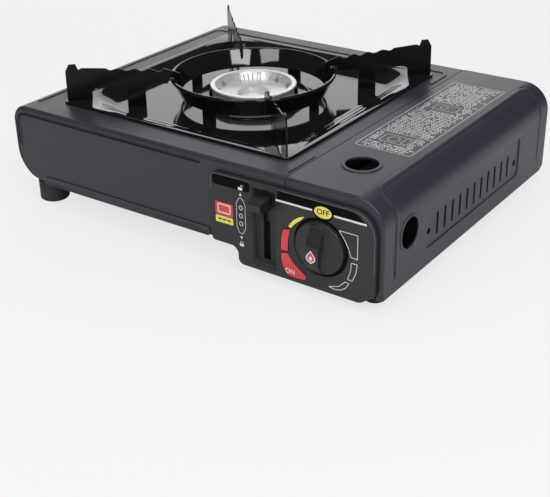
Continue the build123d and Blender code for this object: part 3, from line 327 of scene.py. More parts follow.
def join(name: str, parts: Sequence[bpy.types.Object]) -> bpy.types.Object:
    """Joins objects into the first and gives it a name.

    Args:
        name: the joined object's name.
        parts: the objects to join.

    Returns:
        The joined object.
    """
    bpy.ops.object.select_all(action="DESELECT")
    for part in parts:
        part.select_set(True)
    bpy.context.view_layer.objects.active = parts[0]
    if len(parts) > 1:
        bpy.ops.object.join()
    parts[0].name = parts[0].data.name = name
    return parts[0]


def repeat(name: str, source: bpy.types.Object, places: Sequence[Matrix]) -> bpy.types.Object:
    """Copies a modelled piece to many places and removes the original.

    Args:
        name: the new object's name.
        source: the piece to copy.
        places: a transform for each copy.

    Returns:
        One object that holds all the copies.
    """
    gathered = bmesh.new()
    for place in places:
        before = len(gathered.verts)
        gathered.from_mesh(source.data)
        gathered.verts.ensure_lookup_table()
        bmesh.ops.transform(gathered, matrix=place, verts=gathered.verts[before:])
    gathered.to_mesh(source.data)
    gathered.free()
    source.name = source.data.name = name
    return source


def about(centre: Flat, degrees: float) -> Matrix:
    """Returns the transform that moves a piece from the origin to an upright axis and turns it there."""
    return Matrix.Translation(at(*centre, 0.0)) @ Matrix.Rotation(math.radians(degrees), 4, "Z")


def rectangle(x0: float, y0: float, x1: float, y1: float) -> list[Flat]:
    """Lists the corners of a rectangle from its two opposite ones."""
    return [(x0, y0), (x1, y0), (x1, y1), (x0, y1)]


def ellipse(centre: Flat, a: float, b: float, steps: int) -> list[Flat]:
    """Lists points round an ellipse.

    Args:
        centre: its centre.
        a: half its width.
        b: half its height.
        steps: how many points it has.

    Returns:
        The points, each once.
    """
    turns = [2 * math.pi * i / steps for i in range(steps)]
    return [(centre[0] + a * math.cos(t), centre[1] + b * math.sin(t)) for t in turns]


def arc(centre: Flat, radius: float, start: float, end: float, steps: int) -> list[Flat]:
    """Lists points along an arc.

    Args:
        centre: the arc's centre.
        radius: its radius.
        start: the first angle, in degrees.
        end: the last angle, in degrees.
        steps: how many chords it has.

    Returns:
        The points, first and last included.
    """
    turns = [math.radians(start + (end - start) * i / steps) for i in range(steps + 1)]
    return [(centre[0] + radius * math.cos(t), centre[1] + radius * math.sin(t)) for t in turns]


def rounded(points: Sequence[Flat], radius: float, closed: bool = True, steps: int = 5) -> list[Flat]:
    """Rounds the corners of an outline.

    Args:
        points: the corners.
        radius: the rounding, made smaller where a side is short.
        closed: whether the outline joins up.
        steps: chords in each corner.

    Returns:
        The outline with its corners rounded.
    """
    result: list[Flat] = []
    count = len(points)
    for i, corner in enumerate(points):
        if not closed and i in (0, count - 1):
            result.append(corner)
            continue
        here = Vector(corner)
        back = Vector(points[i - 1]) - here
        ahead = Vector(points[(i + 1) % count]) - here
        reach = min(radius, back.length * 0.49, ahead.length * 0.49)
        start, end = here + back.normalized() * reach, here + ahead.normalized() * reach
        for k in range(steps + 1):
            t = k / steps
            spot = start * (1 - t) ** 2 + here * 2 * t * (1 - t) + end * t**2
            result.append((spot.x, spot.y))
    return result


# ---- finishes --------------------------------------------------------------------------------------
class Graph:
    """A node tree that is being wired."""

    def __init__(self, tree: bpy.types.NodeTree) -> None:
        """Takes the tree over and empties it.

        Args:
            tree: the node tree of a material, world or group.
        """
        self.tree = tree
        tree.nodes.clear()

    def add(self, kind: str, values: dict[str | int, Any] | None = None, **settings: Any) -> bpy.types.Node:
        """Adds a node.

        Args:
            kind: Blender's name for the node, without "ShaderNode".
            values: what its sockets are set to, or the socket each is linked from.
            **settings: the node's own settings.

        Returns:
            The new node.
        """
        node = self.tree.nodes.new(kind if kind.startswith("Node") else f"ShaderNode{kind}")
        for name, value in settings.items():
            setattr(node, name, value)
        for name, value in (values or {}).items():
            if isinstance(value, bpy.types.NodeSocket):
                self.tree.links.new(value, node.inputs[name])
            else:
                node.inputs[name].default_value = value
        return node

    def maths(self, operation: str, *values: Any, clamp: bool = False) -> bpy.types.NodeSocket:
        """Adds a Math node.

        Args:
            operation: what it does.
            *values: a number or a socket for each input.
            clamp: whether the result is kept from 0 to 1.

        Returns:
            The result's socket.
        """
        return self.add("Math", dict(enumerate(values)), operation=operation, use_clamp=clamp).outputs[0]

    def noise(self, place: Any, scale: Any, **values: float) -> bpy.types.NodeSocket:
        """Adds a noise texture.

        Args:
            place: the socket that it reads.
            scale: its scale, a number or a socket.
            **values: its other inputs.

        Returns:
            The noise's socket.
        """
        return self.add("TexNoise", {"Vector": place, "Scale": scale, **values}).outputs[0]

    def blend(self, factor: Any, first: Any, second: Any) -> bpy.types.NodeSocket:
        """Mixes two colours.

        Args:
            factor: the socket that mixes them.
            first: a colour or socket, where the factor is 0.
            second: a colour or socket, where the factor is 1.

        Returns:
            The mixed colour's socket.
        """
        return self.add("Mix", {0: factor, 6: first, 7: second}, data_type="RGBA").outputs[2]

    def layer(self, factor: Any, below: Any, above: Any) -> bpy.types.NodeSocket:
        """Mixes two shaders.

        Args:
            factor: the socket that mixes them.
            below: the shader where the factor is 0.
            above: the shader where the factor is 1.

        Returns:
            The mixed shader's socket.
        """
        return self.add("MixShader", {0: factor, 1: below, 2: above}).outputs[0]

    def use(self, group: bpy.types.NodeTree, **values: Any) -> Any:
        """Adds a shared group.

        Args:
            group: the group's tree.
            **values: a number or a socket for each named input.

        Returns:
            The group's output sockets.
        """
        return self.add("Group", values, node_tree=group).outputs

    def finish(self, out: bpy.types.Node, **results: bpy.types.NodeSocket) -> bpy.types.NodeTree:
        """Wires a group's results to its output node.

        Args:
            out: the output node.
            **results: the socket for each named output.

        Returns:
            The finished tree.
        """
        for name, socket in results.items():
            self.tree.links.new(socket, out.inputs[name])
        return self.tree


FLOAT, VECTOR = "NodeSocketFloat", "NodeSocketVector"


def new_group(name: str, takes: dict[str, float | None], gives: dict[str, str]) -> tuple[Graph, Any, Any]:
    """Starts a shader node group.

    Args:
        name: the group's name.
        takes: each input's name and default. An input without a default is a vector.
        gives: each output's name, with its socket kind.

    Returns:
        The graph to wire, its inputs' sockets and its output node.
    """
    tree = bpy.data.node_groups.new(name, "ShaderNodeTree")
    graph = Graph(tree)
    for label, default in takes.items():
        kind = VECTOR if default is None else FLOAT
        socket = tree.interface.new_socket(label, in_out="INPUT", socket_type=kind)
        if default is not None:
            socket.default_value = default
    for label, kind in gives.items():
        tree.interface.new_socket(label, in_out="OUTPUT", socket_type=kind)
    return graph, graph.add("NodeGroupInput").outputs, graph.add("NodeGroupOutput")


class Effects:
    """Effects that several finishes share, each a node group built once."""

    def __init__(self) -> None:
        """Builds all the groups."""
        self.grain = self._grain()
        self.edges = self._edges()
        self.dust = self._dust()
        self.smudges = self._smudges()
        self.rings = self._rings()

    def _grain(self) -> bpy.types.NodeTree:
        """Returns the group for a fine grain over a long wave."""
        takes = {"Place": None, "Fine": 2000.0, "Long": 60.0, "Share": 0.5}
        graph, given, out = new_group("fine_grain", takes, {"Height": FLOAT, "Shade": FLOAT})
        fine = graph.noise(given["Place"], given["Fine"], Detail=2.0, Roughness=0.55)
        wave = graph.noise(given["Place"], given["Long"], Detail=1.0, Roughness=0.4)
        mixed = graph.add("Mix", {0: given["Share"], 2: fine, 3: wave}).outputs[0]
        return graph.finish(out, Height=mixed, Shade=graph.noise(given["Place"], 9.0, Detail=4.0))

    def _edges(self) -> bpy.types.NodeTree:
        """Returns the group that rounds edges in the shading and masks them."""
        takes = {"Width": 0.0004, "Gain": 2.0}
        graph, given, out = new_group("soft_edges", takes, {"Normal": VECTOR, "Mask": FLOAT})
        bevel = graph.add("Bevel", {"Radius": given["Width"]}, samples=6).outputs[0]
        plain = graph.add("NewGeometry").outputs["Normal"]
        alike = graph.add("VectorMath", {0: bevel, 1: plain}, operation="DOT_PRODUCT").outputs["Value"]
        edge = graph.maths("SUBTRACT", 1.0, alike)
        return graph.finish(out, Normal=bevel, Mask=graph.maths("MULTIPLY", edge, given["Gain"], clamp=True))

    def _dust(self) -> bpy.types.NodeTree:
        """Returns the group that masks dust on faces that look up."""
        graph, given, out = new_group("settled_dust", {"Place": None, "Amount": 0.1}, {"Mask": FLOAT})
        up = graph.add("SeparateXYZ", {0: graph.add("NewGeometry").outputs["Normal"]}).outputs["Z"]
        specks = graph.noise(given["Place"], 340.0, Detail=5.0, Roughness=0.7)
        patches = graph.noise(given["Place"], 14.0, Detail=2.0)
        raised = graph.maths("MULTIPLY", graph.maths("MULTIPLY", specks, patches), 2.4)
        facing = graph.maths("MULTIPLY", up, raised, clamp=True)
        return graph.finish(out, Mask=graph.maths("MULTIPLY", facing, given["Amount"], clamp=True))

    def _smudges(self) -> bpy.types.NodeTree:
        """Returns the group for uneven polish."""
        takes = {"Place": None, "Base": 0.4, "Spread": 0.1, "Worn": 0.0}
        graph, given, out = new_group("uneven_polish", takes, {"Roughness": FLOAT})
        cloud = graph.noise(given["Place"], 26.0, Detail=5.0, Roughness=0.65, Distortion=0.6)
        spread = graph.maths("MULTIPLY", graph.maths("SUBTRACT", cloud, 0.5), given["Spread"])
        total = graph.maths("ADD", graph.maths("ADD", spread, given["Base"]), given["Worn"], clamp=True)
        return graph.finish(out, Roughness=total)

    def _rings(self) -> bpy.types.NodeTree:
        """Returns the group for the fine circles that turning leaves."""
        graph, given, out = new_group("turning_marks", {"Place": None, "Pitch": 2500.0}, {"Height": FLOAT})
        split = graph.add("SeparateXYZ", {0: given["Place"]}).outputs
        squares = [graph.maths("POWER", split[axis], 2.0) for axis in ("X", "Y")]
        radius = graph.maths("SQRT", graph.maths("ADD", *squares))
        slant = graph.maths("ADD", radius, graph.maths("MULTIPLY", split["Z"], 0.7))
        line = graph.maths("MULTIPLY", slant, given["Pitch"])
        marks = graph.add("TexNoise", {"W": line, "Scale": 1.0, "Detail": 3.0}, noise_dimensions="1D")
        return graph.finish(out, Height=marks.outputs[0])


@dataclass(frozen=True)
class Finish:
    """A surface finish and how it is worn.

    Sizes are millimetres. Colours are linear. `centre` is the axis of turning marks, if it has them.
    """

    name: str
    colour: Colour
    roughness: float
    spread: float = 0.08
    metallic: float = 0.0
    ior: float = 1.5
    fine: float = 0.5
    long: float = 12.0
    share: float = 0.3
    height: float = 0.01
    shade: float = 0.12
    edge: float = 0.35
    wear: float = 0.15
    worn: Colour = (0.2, 0.2, 0.2)
    dust: float = 0.04
    centre: Flat | None = None

    def material(self, effects: Effects) -> bpy.types.Material:
        """Builds the material.

        Args:
            effects: the shared groups.

        Returns:
            The new material.
        """
        made = bpy.data.materials.new(self.name)
        made.use_nodes = True
        graph = Graph(made.node_tree)
        place = graph.add("TexCoord").outputs["Object"]
        fine, long = 1 / (self.fine * MM), 1 / (self.long * MM)
        grain = graph.use(effects.grain, Place=place, Fine=fine, Long=long, Share=self.share)
        edges = graph.use(effects.edges, Width=self.edge * MM, Gain=3.0)
        worn = graph.maths("MULTIPLY", edges["Mask"], self.wear)
        scuffs = graph.maths("MULTIPLY", graph.noise(place, 150.0, Detail=5.0, Roughness=0.7), 2.0)
        broken = graph.maths("MULTIPLY", worn, scuffs, clamp=True)
        dust = graph.use(effects.dust, Place=place, Amount=self.dust)["Mask"]
        low = tuple(part * (1 - self.shade) for part in self.colour)
        high = tuple(min(1.0, part * (1 + self.shade)) for part in self.colour)
        tone = graph.blend(grain["Shade"], (*low, 1.0), (*high, 1.0))
        dusty = graph.blend(dust, graph.blend(broken, tone, (*self.worn, 1.0)), DUST_COLOUR)
        dull = graph.maths("MULTIPLY", dust, 1.5)
        polish = graph.use(effects.smudges, Place=place, Base=self.roughness, Spread=self.spread, Worn=dull)
        relief = grain["Height"]
        if self.centre is not None:
            away = graph.add("Mapping", {"Vector": place, "Location": -at(*self.centre, 0.0)}).outputs[0]
            rings = graph.use(effects.rings, Place=away, Pitch=2600.0)["Height"]
            relief = graph.maths("ADD", graph.maths("MULTIPLY", relief, 0.4), rings)
        bump = graph.add("Bump", {"Height": relief, "Distance": self.height * MM, "Strength": 1.0,
                                  "Normal": edges["Normal"]})
        shader = graph.add("BsdfPrincipled", {
            "Base Color": dusty, "Roughness": polish["Roughness"], "Metallic": self.metallic, "IOR": self.ior,
            "Normal": bump.outputs[0]})
        graph.add("OutputMaterial", {"Surface": shader.outputs[0]})
        return made


def printed(name: str, colour: Colour, roughness: float, ior: float = 1.5, shade: float = 0.12) -> Finish:
    """Returns the finish of a thin print, which shows no wear.

    Args:
        name: the material's name.
        colour: its colour.
        roughness: its roughness.
        ior: its index of refraction.
        shade: how much its tone varies.
    """
    return Finish(name, colour, roughness, ior=ior, height=0.004, wear=0.0, shade=shade, dust=0.0)


BURNER_AXIS: Flat = (-28.9, 8.2)

FINISHES: dict[Slot | Ink, Finish] = {
    Ink.WING: Finish("satin_black_enamel", (0.005, 0.005, 0.006), 0.2, ior=1.3, fine=2.5, long=14.0,
                     share=0.7, height=0.02, wear=0.2, worn=(0.3, 0.3, 0.32), dust=0.02),
    Slot.PAINT: Finish("slate_paint", (0.030, 0.030, 0.046), 0.36, fine=0.7, long=9.0, share=0.35,
                       height=0.012, worn=(0.16, 0.16, 0.18), wear=0.10),
    Slot.ENAMEL: Finish("gloss_black_enamel", (0.006, 0.006, 0.008), 0.05, spread=0.05, ior=1.6, fine=2.5,
                        long=14.0, share=0.7, height=0.02, worn=(0.05, 0.05, 0.055), wear=0.05, dust=0.02),
    Slot.PANEL: Finish("matte_panel_plastic", (0.027, 0.026, 0.030), 0.52, fine=0.35, height=0.012,
                       worn=(0.10, 0.10, 0.10), wear=0.12),
    Slot.KNOB: Finish("satin_knob_plastic", (0.018, 0.018, 0.020), 0.34, fine=0.3, height=0.006,
                      worn=(0.11, 0.11, 0.11), wear=0.15),
    Slot.FOOT: Finish("foot_plastic", (0.032, 0.032, 0.042), 0.55, fine=0.4, height=0.015, wear=0.05),
    Slot.BURNER: Finish("bright_burner_alloy", (0.86, 0.86, 0.87), 0.36, spread=0.10, metallic=0.6,
                        shade=0.04, height=0.004, wear=0.0, dust=0.0, centre=BURNER_AXIS),
    Slot.CAST: Finish("cast_alloy", (0.46, 0.46, 0.47), 0.48, metallic=1.0, fine=0.9, height=0.05, wear=0.3,
                      worn=(0.7, 0.7, 0.7)),
    Slot.PIPE: Finish("drawn_pipe_alloy", (0.72, 0.72, 0.73), 0.3, metallic=1.0, height=0.004, wear=0.0),
    Slot.BRASS: Finish("turned_brass", (0.68, 0.47, 0.20), 0.28, metallic=1.0, height=0.004, wear=0.2,
                       worn=(0.8, 0.62, 0.35)),
    Slot.STEEL: Finish("zinc_plated_steel", (0.50, 0.51, 0.53), 0.34, spread=0.2, metallic=1.0, fine=3.0,
                       height=0.006, shade=0.2, wear=0.3, worn=(0.75, 0.75, 0.76)),
    Slot.BLACK_STEEL: Finish("black_coated_steel", (0.012, 0.012, 0.013), 0.4, fine=0.5, height=0.008,
                             wear=0.1, worn=(0.2, 0.2, 0.21)),
    Slot.RUBBER: Finish("black_rubber", (0.018, 0.018, 0.018), 0.6, fine=0.3, height=0.01, wear=0.05),
    Slot.CERAMIC: Finish("glazed_ceramic", (0.80, 0.78, 0.72), 0.15, height=0.004, wear=0.1, shade=0.05,
                         worn=(0.6, 0.56, 0.5)),
    Slot.IGNITER: Finish("igniter_plastic", (0.52, 0.52, 0.47), 0.42, height=0.01, wear=0.1, shade=0.08,
                         worn=(0.7, 0.7, 0.66)),
    Ink.WHITE: printed("white_print", (0.86, 0.86, 0.87), 0.5, shade=0.03),
    Ink.YELLOW: printed("yellow_print", (0.88, 0.84, 0.17), 0.45, shade=0.04),
    Ink.RED: printed("red_print", (0.78, 0.065, 0.08), 0.45, shade=0.05),
    Ink.BLACK: printed("black_print", (0.006, 0.006, 0.005), 0.5, ior=1.15, shade=0.05),
    # dark bands on the panel's top, and painted shadow in the gap round the knob
    Ink.FILM: printed("black_film", (0.004, 0.004, 0.005), 0.6, ior=1.15),
    # painted shade: a dark print for the shade of the front's pressed line and rounded left end
    Ink.CREASE: printed("shaded_crease", (0.008, 0.008, 0.013), 0.5, ior=1.2),
    # painted highlight: a pale print along the panel's edges where light catches them
    Ink.EDGE: printed("pale_painted_edge_highlight", (0.15, 0.15, 0.165), 0.4),
}


# ---- workshop --------------------------------------------------------------------------------------
class Workshop:
    """Holds the frame and the finishes, and fits finished pieces to the frame."""

    def __init__(self, frame: dict[str, Any]) -> None:
        """Builds the finishes.
        """
        self.nodes: dict[str, bpy.types.Object] = frame["nodes"]
        effects = Effects()
        self.coats = {key: finish.material(effects) for key, finish in FINISHES.items()}
        self.count = 0

    def fit(self, piece: bpy.types.Object, coat: Slot | Ink, body: Body = Body.BASE, *nodes: str) -> None:
        """Dresses a piece and lets it ride on a body.

        Args:
            piece: the finished mesh.
            coat: its finish.
            body: the body that carries it.
            *nodes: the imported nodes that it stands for.
        """
        piece.data.materials.clear()
        piece.data.materials.append(self.coats[coat])
        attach(piece, body.value)
        if nodes:
            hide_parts(*nodes)
        self.count += 1
        LOG.info("%s on %s, %d faces", piece.name, body.value, len(piece.data.polygons))

    def skin(self, node: str, coat: Slot | Ink, body: Body = Body.BASE, degrees: float = 35.0,
             edge: float = 0.0) -> None:
        """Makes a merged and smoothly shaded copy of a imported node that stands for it.

        Args:
            node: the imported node.
            coat: its finish.
            body: its body.
            degrees: edges sharper than this stay crisp.
            edge: width of a real rounding on those edges, in millimetres, or 0 for none.
        """
        source = self.nodes[node]
        piece = source.copy()
        piece.data = source.data.copy()
        piece.name = piece.data.name = f"{node}_skin"
        bpy.context.collection.objects.link(piece)
        with editing(piece):
            bpy.ops.mesh.remove_doubles(threshold=WELD * MM)
            if edge:
                bpy.ops.mesh.dissolve_limited(angle_limit=FLAT)
        if edge:
            modify(piece, "BEVEL", width=edge * MM, segments=2, limit_method="ANGLE",
                   angle_limit=math.radians(degrees), harden_normals=False)
        smooth(piece, degrees)
        modify(piece, "WEIGHTED_NORMAL", keep_sharp=True, weight=50)
        self.fit(piece, coat, body, node)

    def coat_nodes(self, coat: Slot, *nodes: str) -> None:
        """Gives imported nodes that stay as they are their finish.

        Args:
            coat: their finish.
            *nodes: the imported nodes.
        """
        for node in nodes:
            obj = self.nodes[node]
            if not obj.material_slots:
                obj.data.materials.append(None)
            for slot in obj.material_slots:
                slot.material = self.coats[coat]
            LOG.info("%s keeps its shape", node)


# ---- prints ----------------------------------------------------------------------------------------
@dataclass(frozen=True)
class Printer:
    """Lays thin marks on a flat surface.

    `level` is the surface's own height along its outward direction.
    """

    face: Face
    level: float
    thickness: float = 0.05

    def spot(self, u: float, v: float, layer: int = 0) -> Vector:
        """Returns the place of a mark's corner in metres.

        Args:
            u: along X.
            v: along Z on the panel, or along Y on top.
            layer: how many layers lie under it.
        """
        lift = self.level + layer * self.thickness
        return at(u, -lift, v) if self.face is Face.PANEL else at(u, v, lift)

    def patch(self, name: str, *outlines: Sequence[Flat], layer: int = 0) -> bpy.types.Object:
        """Makes filled marks as one object.

        Args:
            name: the object's name.
            *outlines: the corners of each mark.
            layer: how many layers lie under them.

        Returns:
            The new object.
        """
        depth = Vector(self.face.value) * self.thickness * MM
        parts = [plate(name, [self.spot(u, v, layer) for u, v in outline], depth) for outline in outlines]
        return join(name, parts)

    def stroke(self, name: str, width: float, *lines: Sequence[Flat],
               closed: bool = True) -> bpy.types.Object:
        """Makes lines of even width as one object.

        Args:
            name: the object's name.
            width: the lines' width.
            *lines: the middle of each line.
            closed: whether they join up.

        Returns:
            The new object.
        """
        parts = [tube(name, [self.spot(u, v) for u, v in line], width / 2, closed) for line in lines]
        for part, line in zip(parts, lines):
            flatten(part, self.spot(*line[0]), Vector(self.face.value), 2 * self.thickness / width)
        return join(name, parts)

    def words(self, name: str, text: str, middle: Flat, height: float, layer: int) -> bpy.types.Object:
        """Makes short capital lettering on the panel.

        Args:
            name: the mark's name.
            text: the letters.
            middle: the middle of the letters.
            height: the letters' height.
            layer: how many layers lie under it.

        Returns:
            The new object.
        """
        bpy.ops.object.select_all(action="DESELECT")
        bpy.ops.object.text_add(location=self.spot(*middle, layer), rotation=(math.pi / 2, 0, 0))
        letters = bpy.context.object.data
        letters.body = text
        letters.align_x, letters.align_y = "CENTER", "CENTER"
        letters.size = height / CAPITAL_SHARE * MM
        letters.offset = BOLDNESS * height * MM
        letters.extrude = self.thickness * MM
        bpy.ops.object.convert(target="MESH")
        obj = named(name)
        settle(obj)
        return obj


# ---- sub-assemblies --------------------------------------------------------------------------------
@dataclass
class Assembly:
    """A group of pieces that belong together."""

    shop: Workshop

    def build(self) -> None:
        """Builds the pieces and fits them to the frame."""
        raise NotImplementedError


@dataclass
class Casing(Assembly):
    """The pressed steel body: deck, front, left end, rear and floor."""

    front: Printer = Printer(Face.PANEL, 125.0, 0.03)
    bead: Printer = Printer(Face.PANEL, 125.8, 0.03)
    bead_width: float = 1.5
    bend_width: float = 0.9
    lip_x: Flat = (167.9, 168.25)
    lip_y: Flat = (-62.0, 90.0)
    lip_z: Flat = (27.4, 30.25)
    lip_fold: float = 1.2
    lip_sheet: float = 0.2

    def build(self) -> None:
        """Builds the casing's pieces."""
        for node in ("main_casing", "bottom_plate", "partition_wall"):
            self.shop.skin(node, Slot.PAINT)
        self.shop.coat_nodes(Slot.PAINT, "bay_front_wall", "bay_rear_wall")
        self._bare_edge()
        self._painted_crease_shade()

    def _painted_crease_shade(self) -> None:
        """Lays thin dark strips of painted shade on the front: on the crown of its bead, for the shade of the
        pressed line, and inside its left outline, for the shade along the rounded left end.
        """
        upper = rounded([(-166.0, 50.0), (-166.0, 76.4), (20.0, 76.4)], 9.0, closed=False)
        left = [(-168.6, 72.0), (-168.6, 50.0), (-168.3, 42.0), *arc((-148.0, 42.0), 19.6, 190, 262, 8)]
        crease_shade_strips = [self.bead.stroke("painted_shade_upper", self.bead_width, upper, closed=False),
                   self.front.stroke("painted_shade_left", self.bend_width, left, closed=False)]
        self.shop.fit(join("front_painted_crease_shade", crease_shade_strips), Ink.CREASE)

    def _bare_edge(self) -> None:
        """Makes the bare folded edge of the floor's lip, seen through the lid's vents."""
        (x0, x1), (y0, y1), (z0, z1) = self.lip_x, self.lip_y, self.lip_z
        fold, under = x0 - self.lip_fold, z1 - self.lip_sheet
        section = rounded([(fold, z1), (x1, z1), (x1, z0), (x0, z0), (x0, under), (fold, under)], 0.15)
        edge = plate("floor_lip_edge", [at(x, y0, z) for x, z in section], at(0, y1 - y0, 0))
        smooth(edge, 40)
        self.shop.fit(edge, Slot.STEEL)


@dataclass
class Lid(Assembly):
    """The cartridge cover with its pressed lines, sight holes, vents and printed notice."""

    top: float = 82.0
    side: float = 172.0
    corner: float = 22.0
    bead_angle: float = 13.0
    bead_ends: Flat = (-107.0, 129.5)
    bead_foot: float = 21.0
    bead_corner: float = 11.0
    bead_step: float = 2.5
    bead_width: float = 4.6
    bead_height: float = 0.55
    sunk_share: float = 0.1
    frame_x: Flat = (102.0, 147.5)
    frame_y: Flat = (-48.0, 110.0)
    frame_width: float = 0.55
    divider_y: float = -14.0
    rule_width: float = 0.5
    picture_width: float = 0.45
    margin: float = 3.0
    inset: float = 2.5
    row_pitch: float = 2.75
    rule_gap: float = 2.0
    dash_widths: Flat = (0.7, 1.9)
    dash_heights: Flat = (1.0, 1.5)
    dash_gaps: tuple[float, ...] = (0.35, 0.35, 0.9)
    dash_share: float = 0.9
    picture_rows: tuple[Flat, ...] = ((-36.0, -14.0), (42.0, 62.0))
    picture_reach: Flat = (8.0, 34.0)
    studs: tuple[Flat, ...] = ((143.6, -123.0), (153.0, 129.0))
    stud_dome: tuple[Flat, ...] = ((0.02, -0.3), (1.1, -0.3), (1.1, 0.15), (0.8, 0.35), (0.35, 0.45),
                                   (0.02, 0.47))
    seed: int = 5

    def build(self) -> None:
        """Builds the lid's pieces."""
        self.shop.skin("lid", Slot.PAINT, Body.LID)
        self.shop.skin("lid_hinge", Slot.STEEL, Body.LID)
        self._bead()
        self._notice()
        self._studs()

    def _over(self, reach: float, y: float) -> Vector:
        """Returns a place on the lid's outside.

        Args:
            reach: length along the section, from the top of the rounded corner outwards and down.
            y: along the lid.
        """
        bend = self.corner * math.pi / 2
        axis_x, axis_z = self.side - self.corner, self.top - self.corner
        if reach > bend:
            return at(self.side, y, axis_z - (reach - bend))
        turn = reach / self.corner
        return at(axis_x + self.corner * math.sin(turn), y, axis_z + self.corner * math.cos(turn))

    def _bead(self) -> None:
        """Makes the pressed line that runs along the top and down the side at both ends."""
        start = math.radians(self.bead_angle) * self.corner
        foot = self.corner * math.pi / 2 + self.top - self.corner - self.bead_foot
        y0, y1 = self.bead_ends
        corners = [(foot, y0), (start, y0), (start, y1), (foot, y1)]
        path = rounded(corners, self.bead_corner, closed=False, steps=8)
        line: list[Vector] = []
        for (r0, v0), (r1, v1) in zip(path, path[1:]):
            parts = max(1, int(abs(r1 - r0) / self.bead_step))
            line += [self._over(r0 + (r1 - r0) * k / parts, v0 + (v1 - v0) * k / parts) for k in range(parts)]
        line.append(self._over(*path[-1]))
        bead = tube("lid_bead", line, self.bead_width / 2)
        self._press(bead)
        smooth(bead, 60)
        self.shop.fit(bead, Slot.PAINT, Body.LID)

    def _press(self, bead: bpy.types.Object) -> None:
        """Presses the bead to its height over the lid's outside.

        Args:
            bead: a round bar that lies half in the lid.
        """
        axis = Vector((self.side - self.corner, self.top - self.corner)) * MM
        for vertex in bead.data.vertices:
            away = Vector((vertex.co.x, vertex.co.z)) - axis
            if away.x <= 0 or away.y <= 0:
                away = Vector((0.0, away.y)) if away.x <= 0 else Vector((away.x, 0.0))
            height = away.length - self.corner * MM
            keep = self.bead_height / (self.bead_width / 2) if height > 0 else self.sunk_share
            step = away.normalized() * height * (keep - 1)
            vertex.co += Vector((step.x, 0.0, step.y))

    def _notice(self) -> None:
        """Prints the notice's frame, its rows of plain dashes and two simple pictures."""
        printer = Printer(Face.TOP, self.top, 0.03)
        (x0, x1), (y0, y1) = self.frame_x, self.frame_y
        frame = printer.stroke("notice_frame", self.frame_width, rounded(rectangle(x0, y0, x1, y1), 2.5))
        rule_line = [(x0, self.divider_y), (x1, self.divider_y)]
        rule = printer.stroke("notice_rule", self.rule_width, rule_line, closed=False)
        dash = printer.patch("notice_dash", rounded(rectangle(-0.5, -0.5, 0.5, 0.5), 0.15, steps=1))
        rows = repeat("notice_rows", dash, self._dashes())
        x, y = (x0 + x1) / 2, self.divider_y - 11.5
        stove_and_cartridge = [
            rounded(rectangle(x - 12, y - 7, x + 12, y + 7), 1.5),
            arc((x - 3, y), 4.6, 0, 345, 14),
            rounded(rectangle(x + 5, y - 5, x + 10, y + 5), 1.2),
            rounded([(x - 10, 46), (x + 8, 46), (x + 10, 48.5), (x + 10, 55.5), (x + 8, 58),
                     (x - 10, 58)], 1.2),
            arc((x - 2, 52), 3.2, 0, 340, 12),
        ]
        pictures = printer.stroke("notice_pictures", self.picture_width, *stove_and_cartridge)
        self.shop.fit(join("lid_notice", [rows, frame, rule, pictures]), Ink.WHITE, Body.LID)

    def _dashes(self) -> list[Matrix]:
        """Returns a place and a size for each dash of the notice, around its rule and its pictures."""
        (x0, x1), (y0, y1) = self.frame_x, self.frame_y
        dice = random.Random(self.seed)
        places: list[Matrix] = []
        row = y0 + self.margin
        while row < y1 - self.margin:
            if abs(row - self.divider_y) < self.rule_gap:
                row += 1.0
                continue
            picture = any(low < row < high for low, high in self.picture_rows)
            spot, end = x0 + self.inset + dice.uniform(0, 2), x1 - self.inset - dice.uniform(0, 6)
            while spot < end:
                width = dice.uniform(*self.dash_widths)
                inside = picture and self.picture_reach[0] < spot - x0 < self.picture_reach[1]
                if not inside and dice.random() < self.dash_share:
                    place = Matrix.Translation(at(spot + width / 2, row, 0.0))
                    size = Matrix.Diagonal((width, dice.uniform(*self.dash_heights), 1.0, 1.0))
                    places.append(place @ size)
                spot += width + dice.choice(self.dash_gaps)
            row += self.row_pitch
        return places

    def _studs(self) -> None:
        """Makes the small domed studs on the lid's top."""
        dome = [(radius, self.top + height) for radius, height in self.stud_dome]
        studs = join("lid_studs", [turned("lid_stud", dome, place, 20) for place in self.studs])
        smooth(studs, 50)
        self.shop.fit(studs, Slot.PAINT, Body.LID)


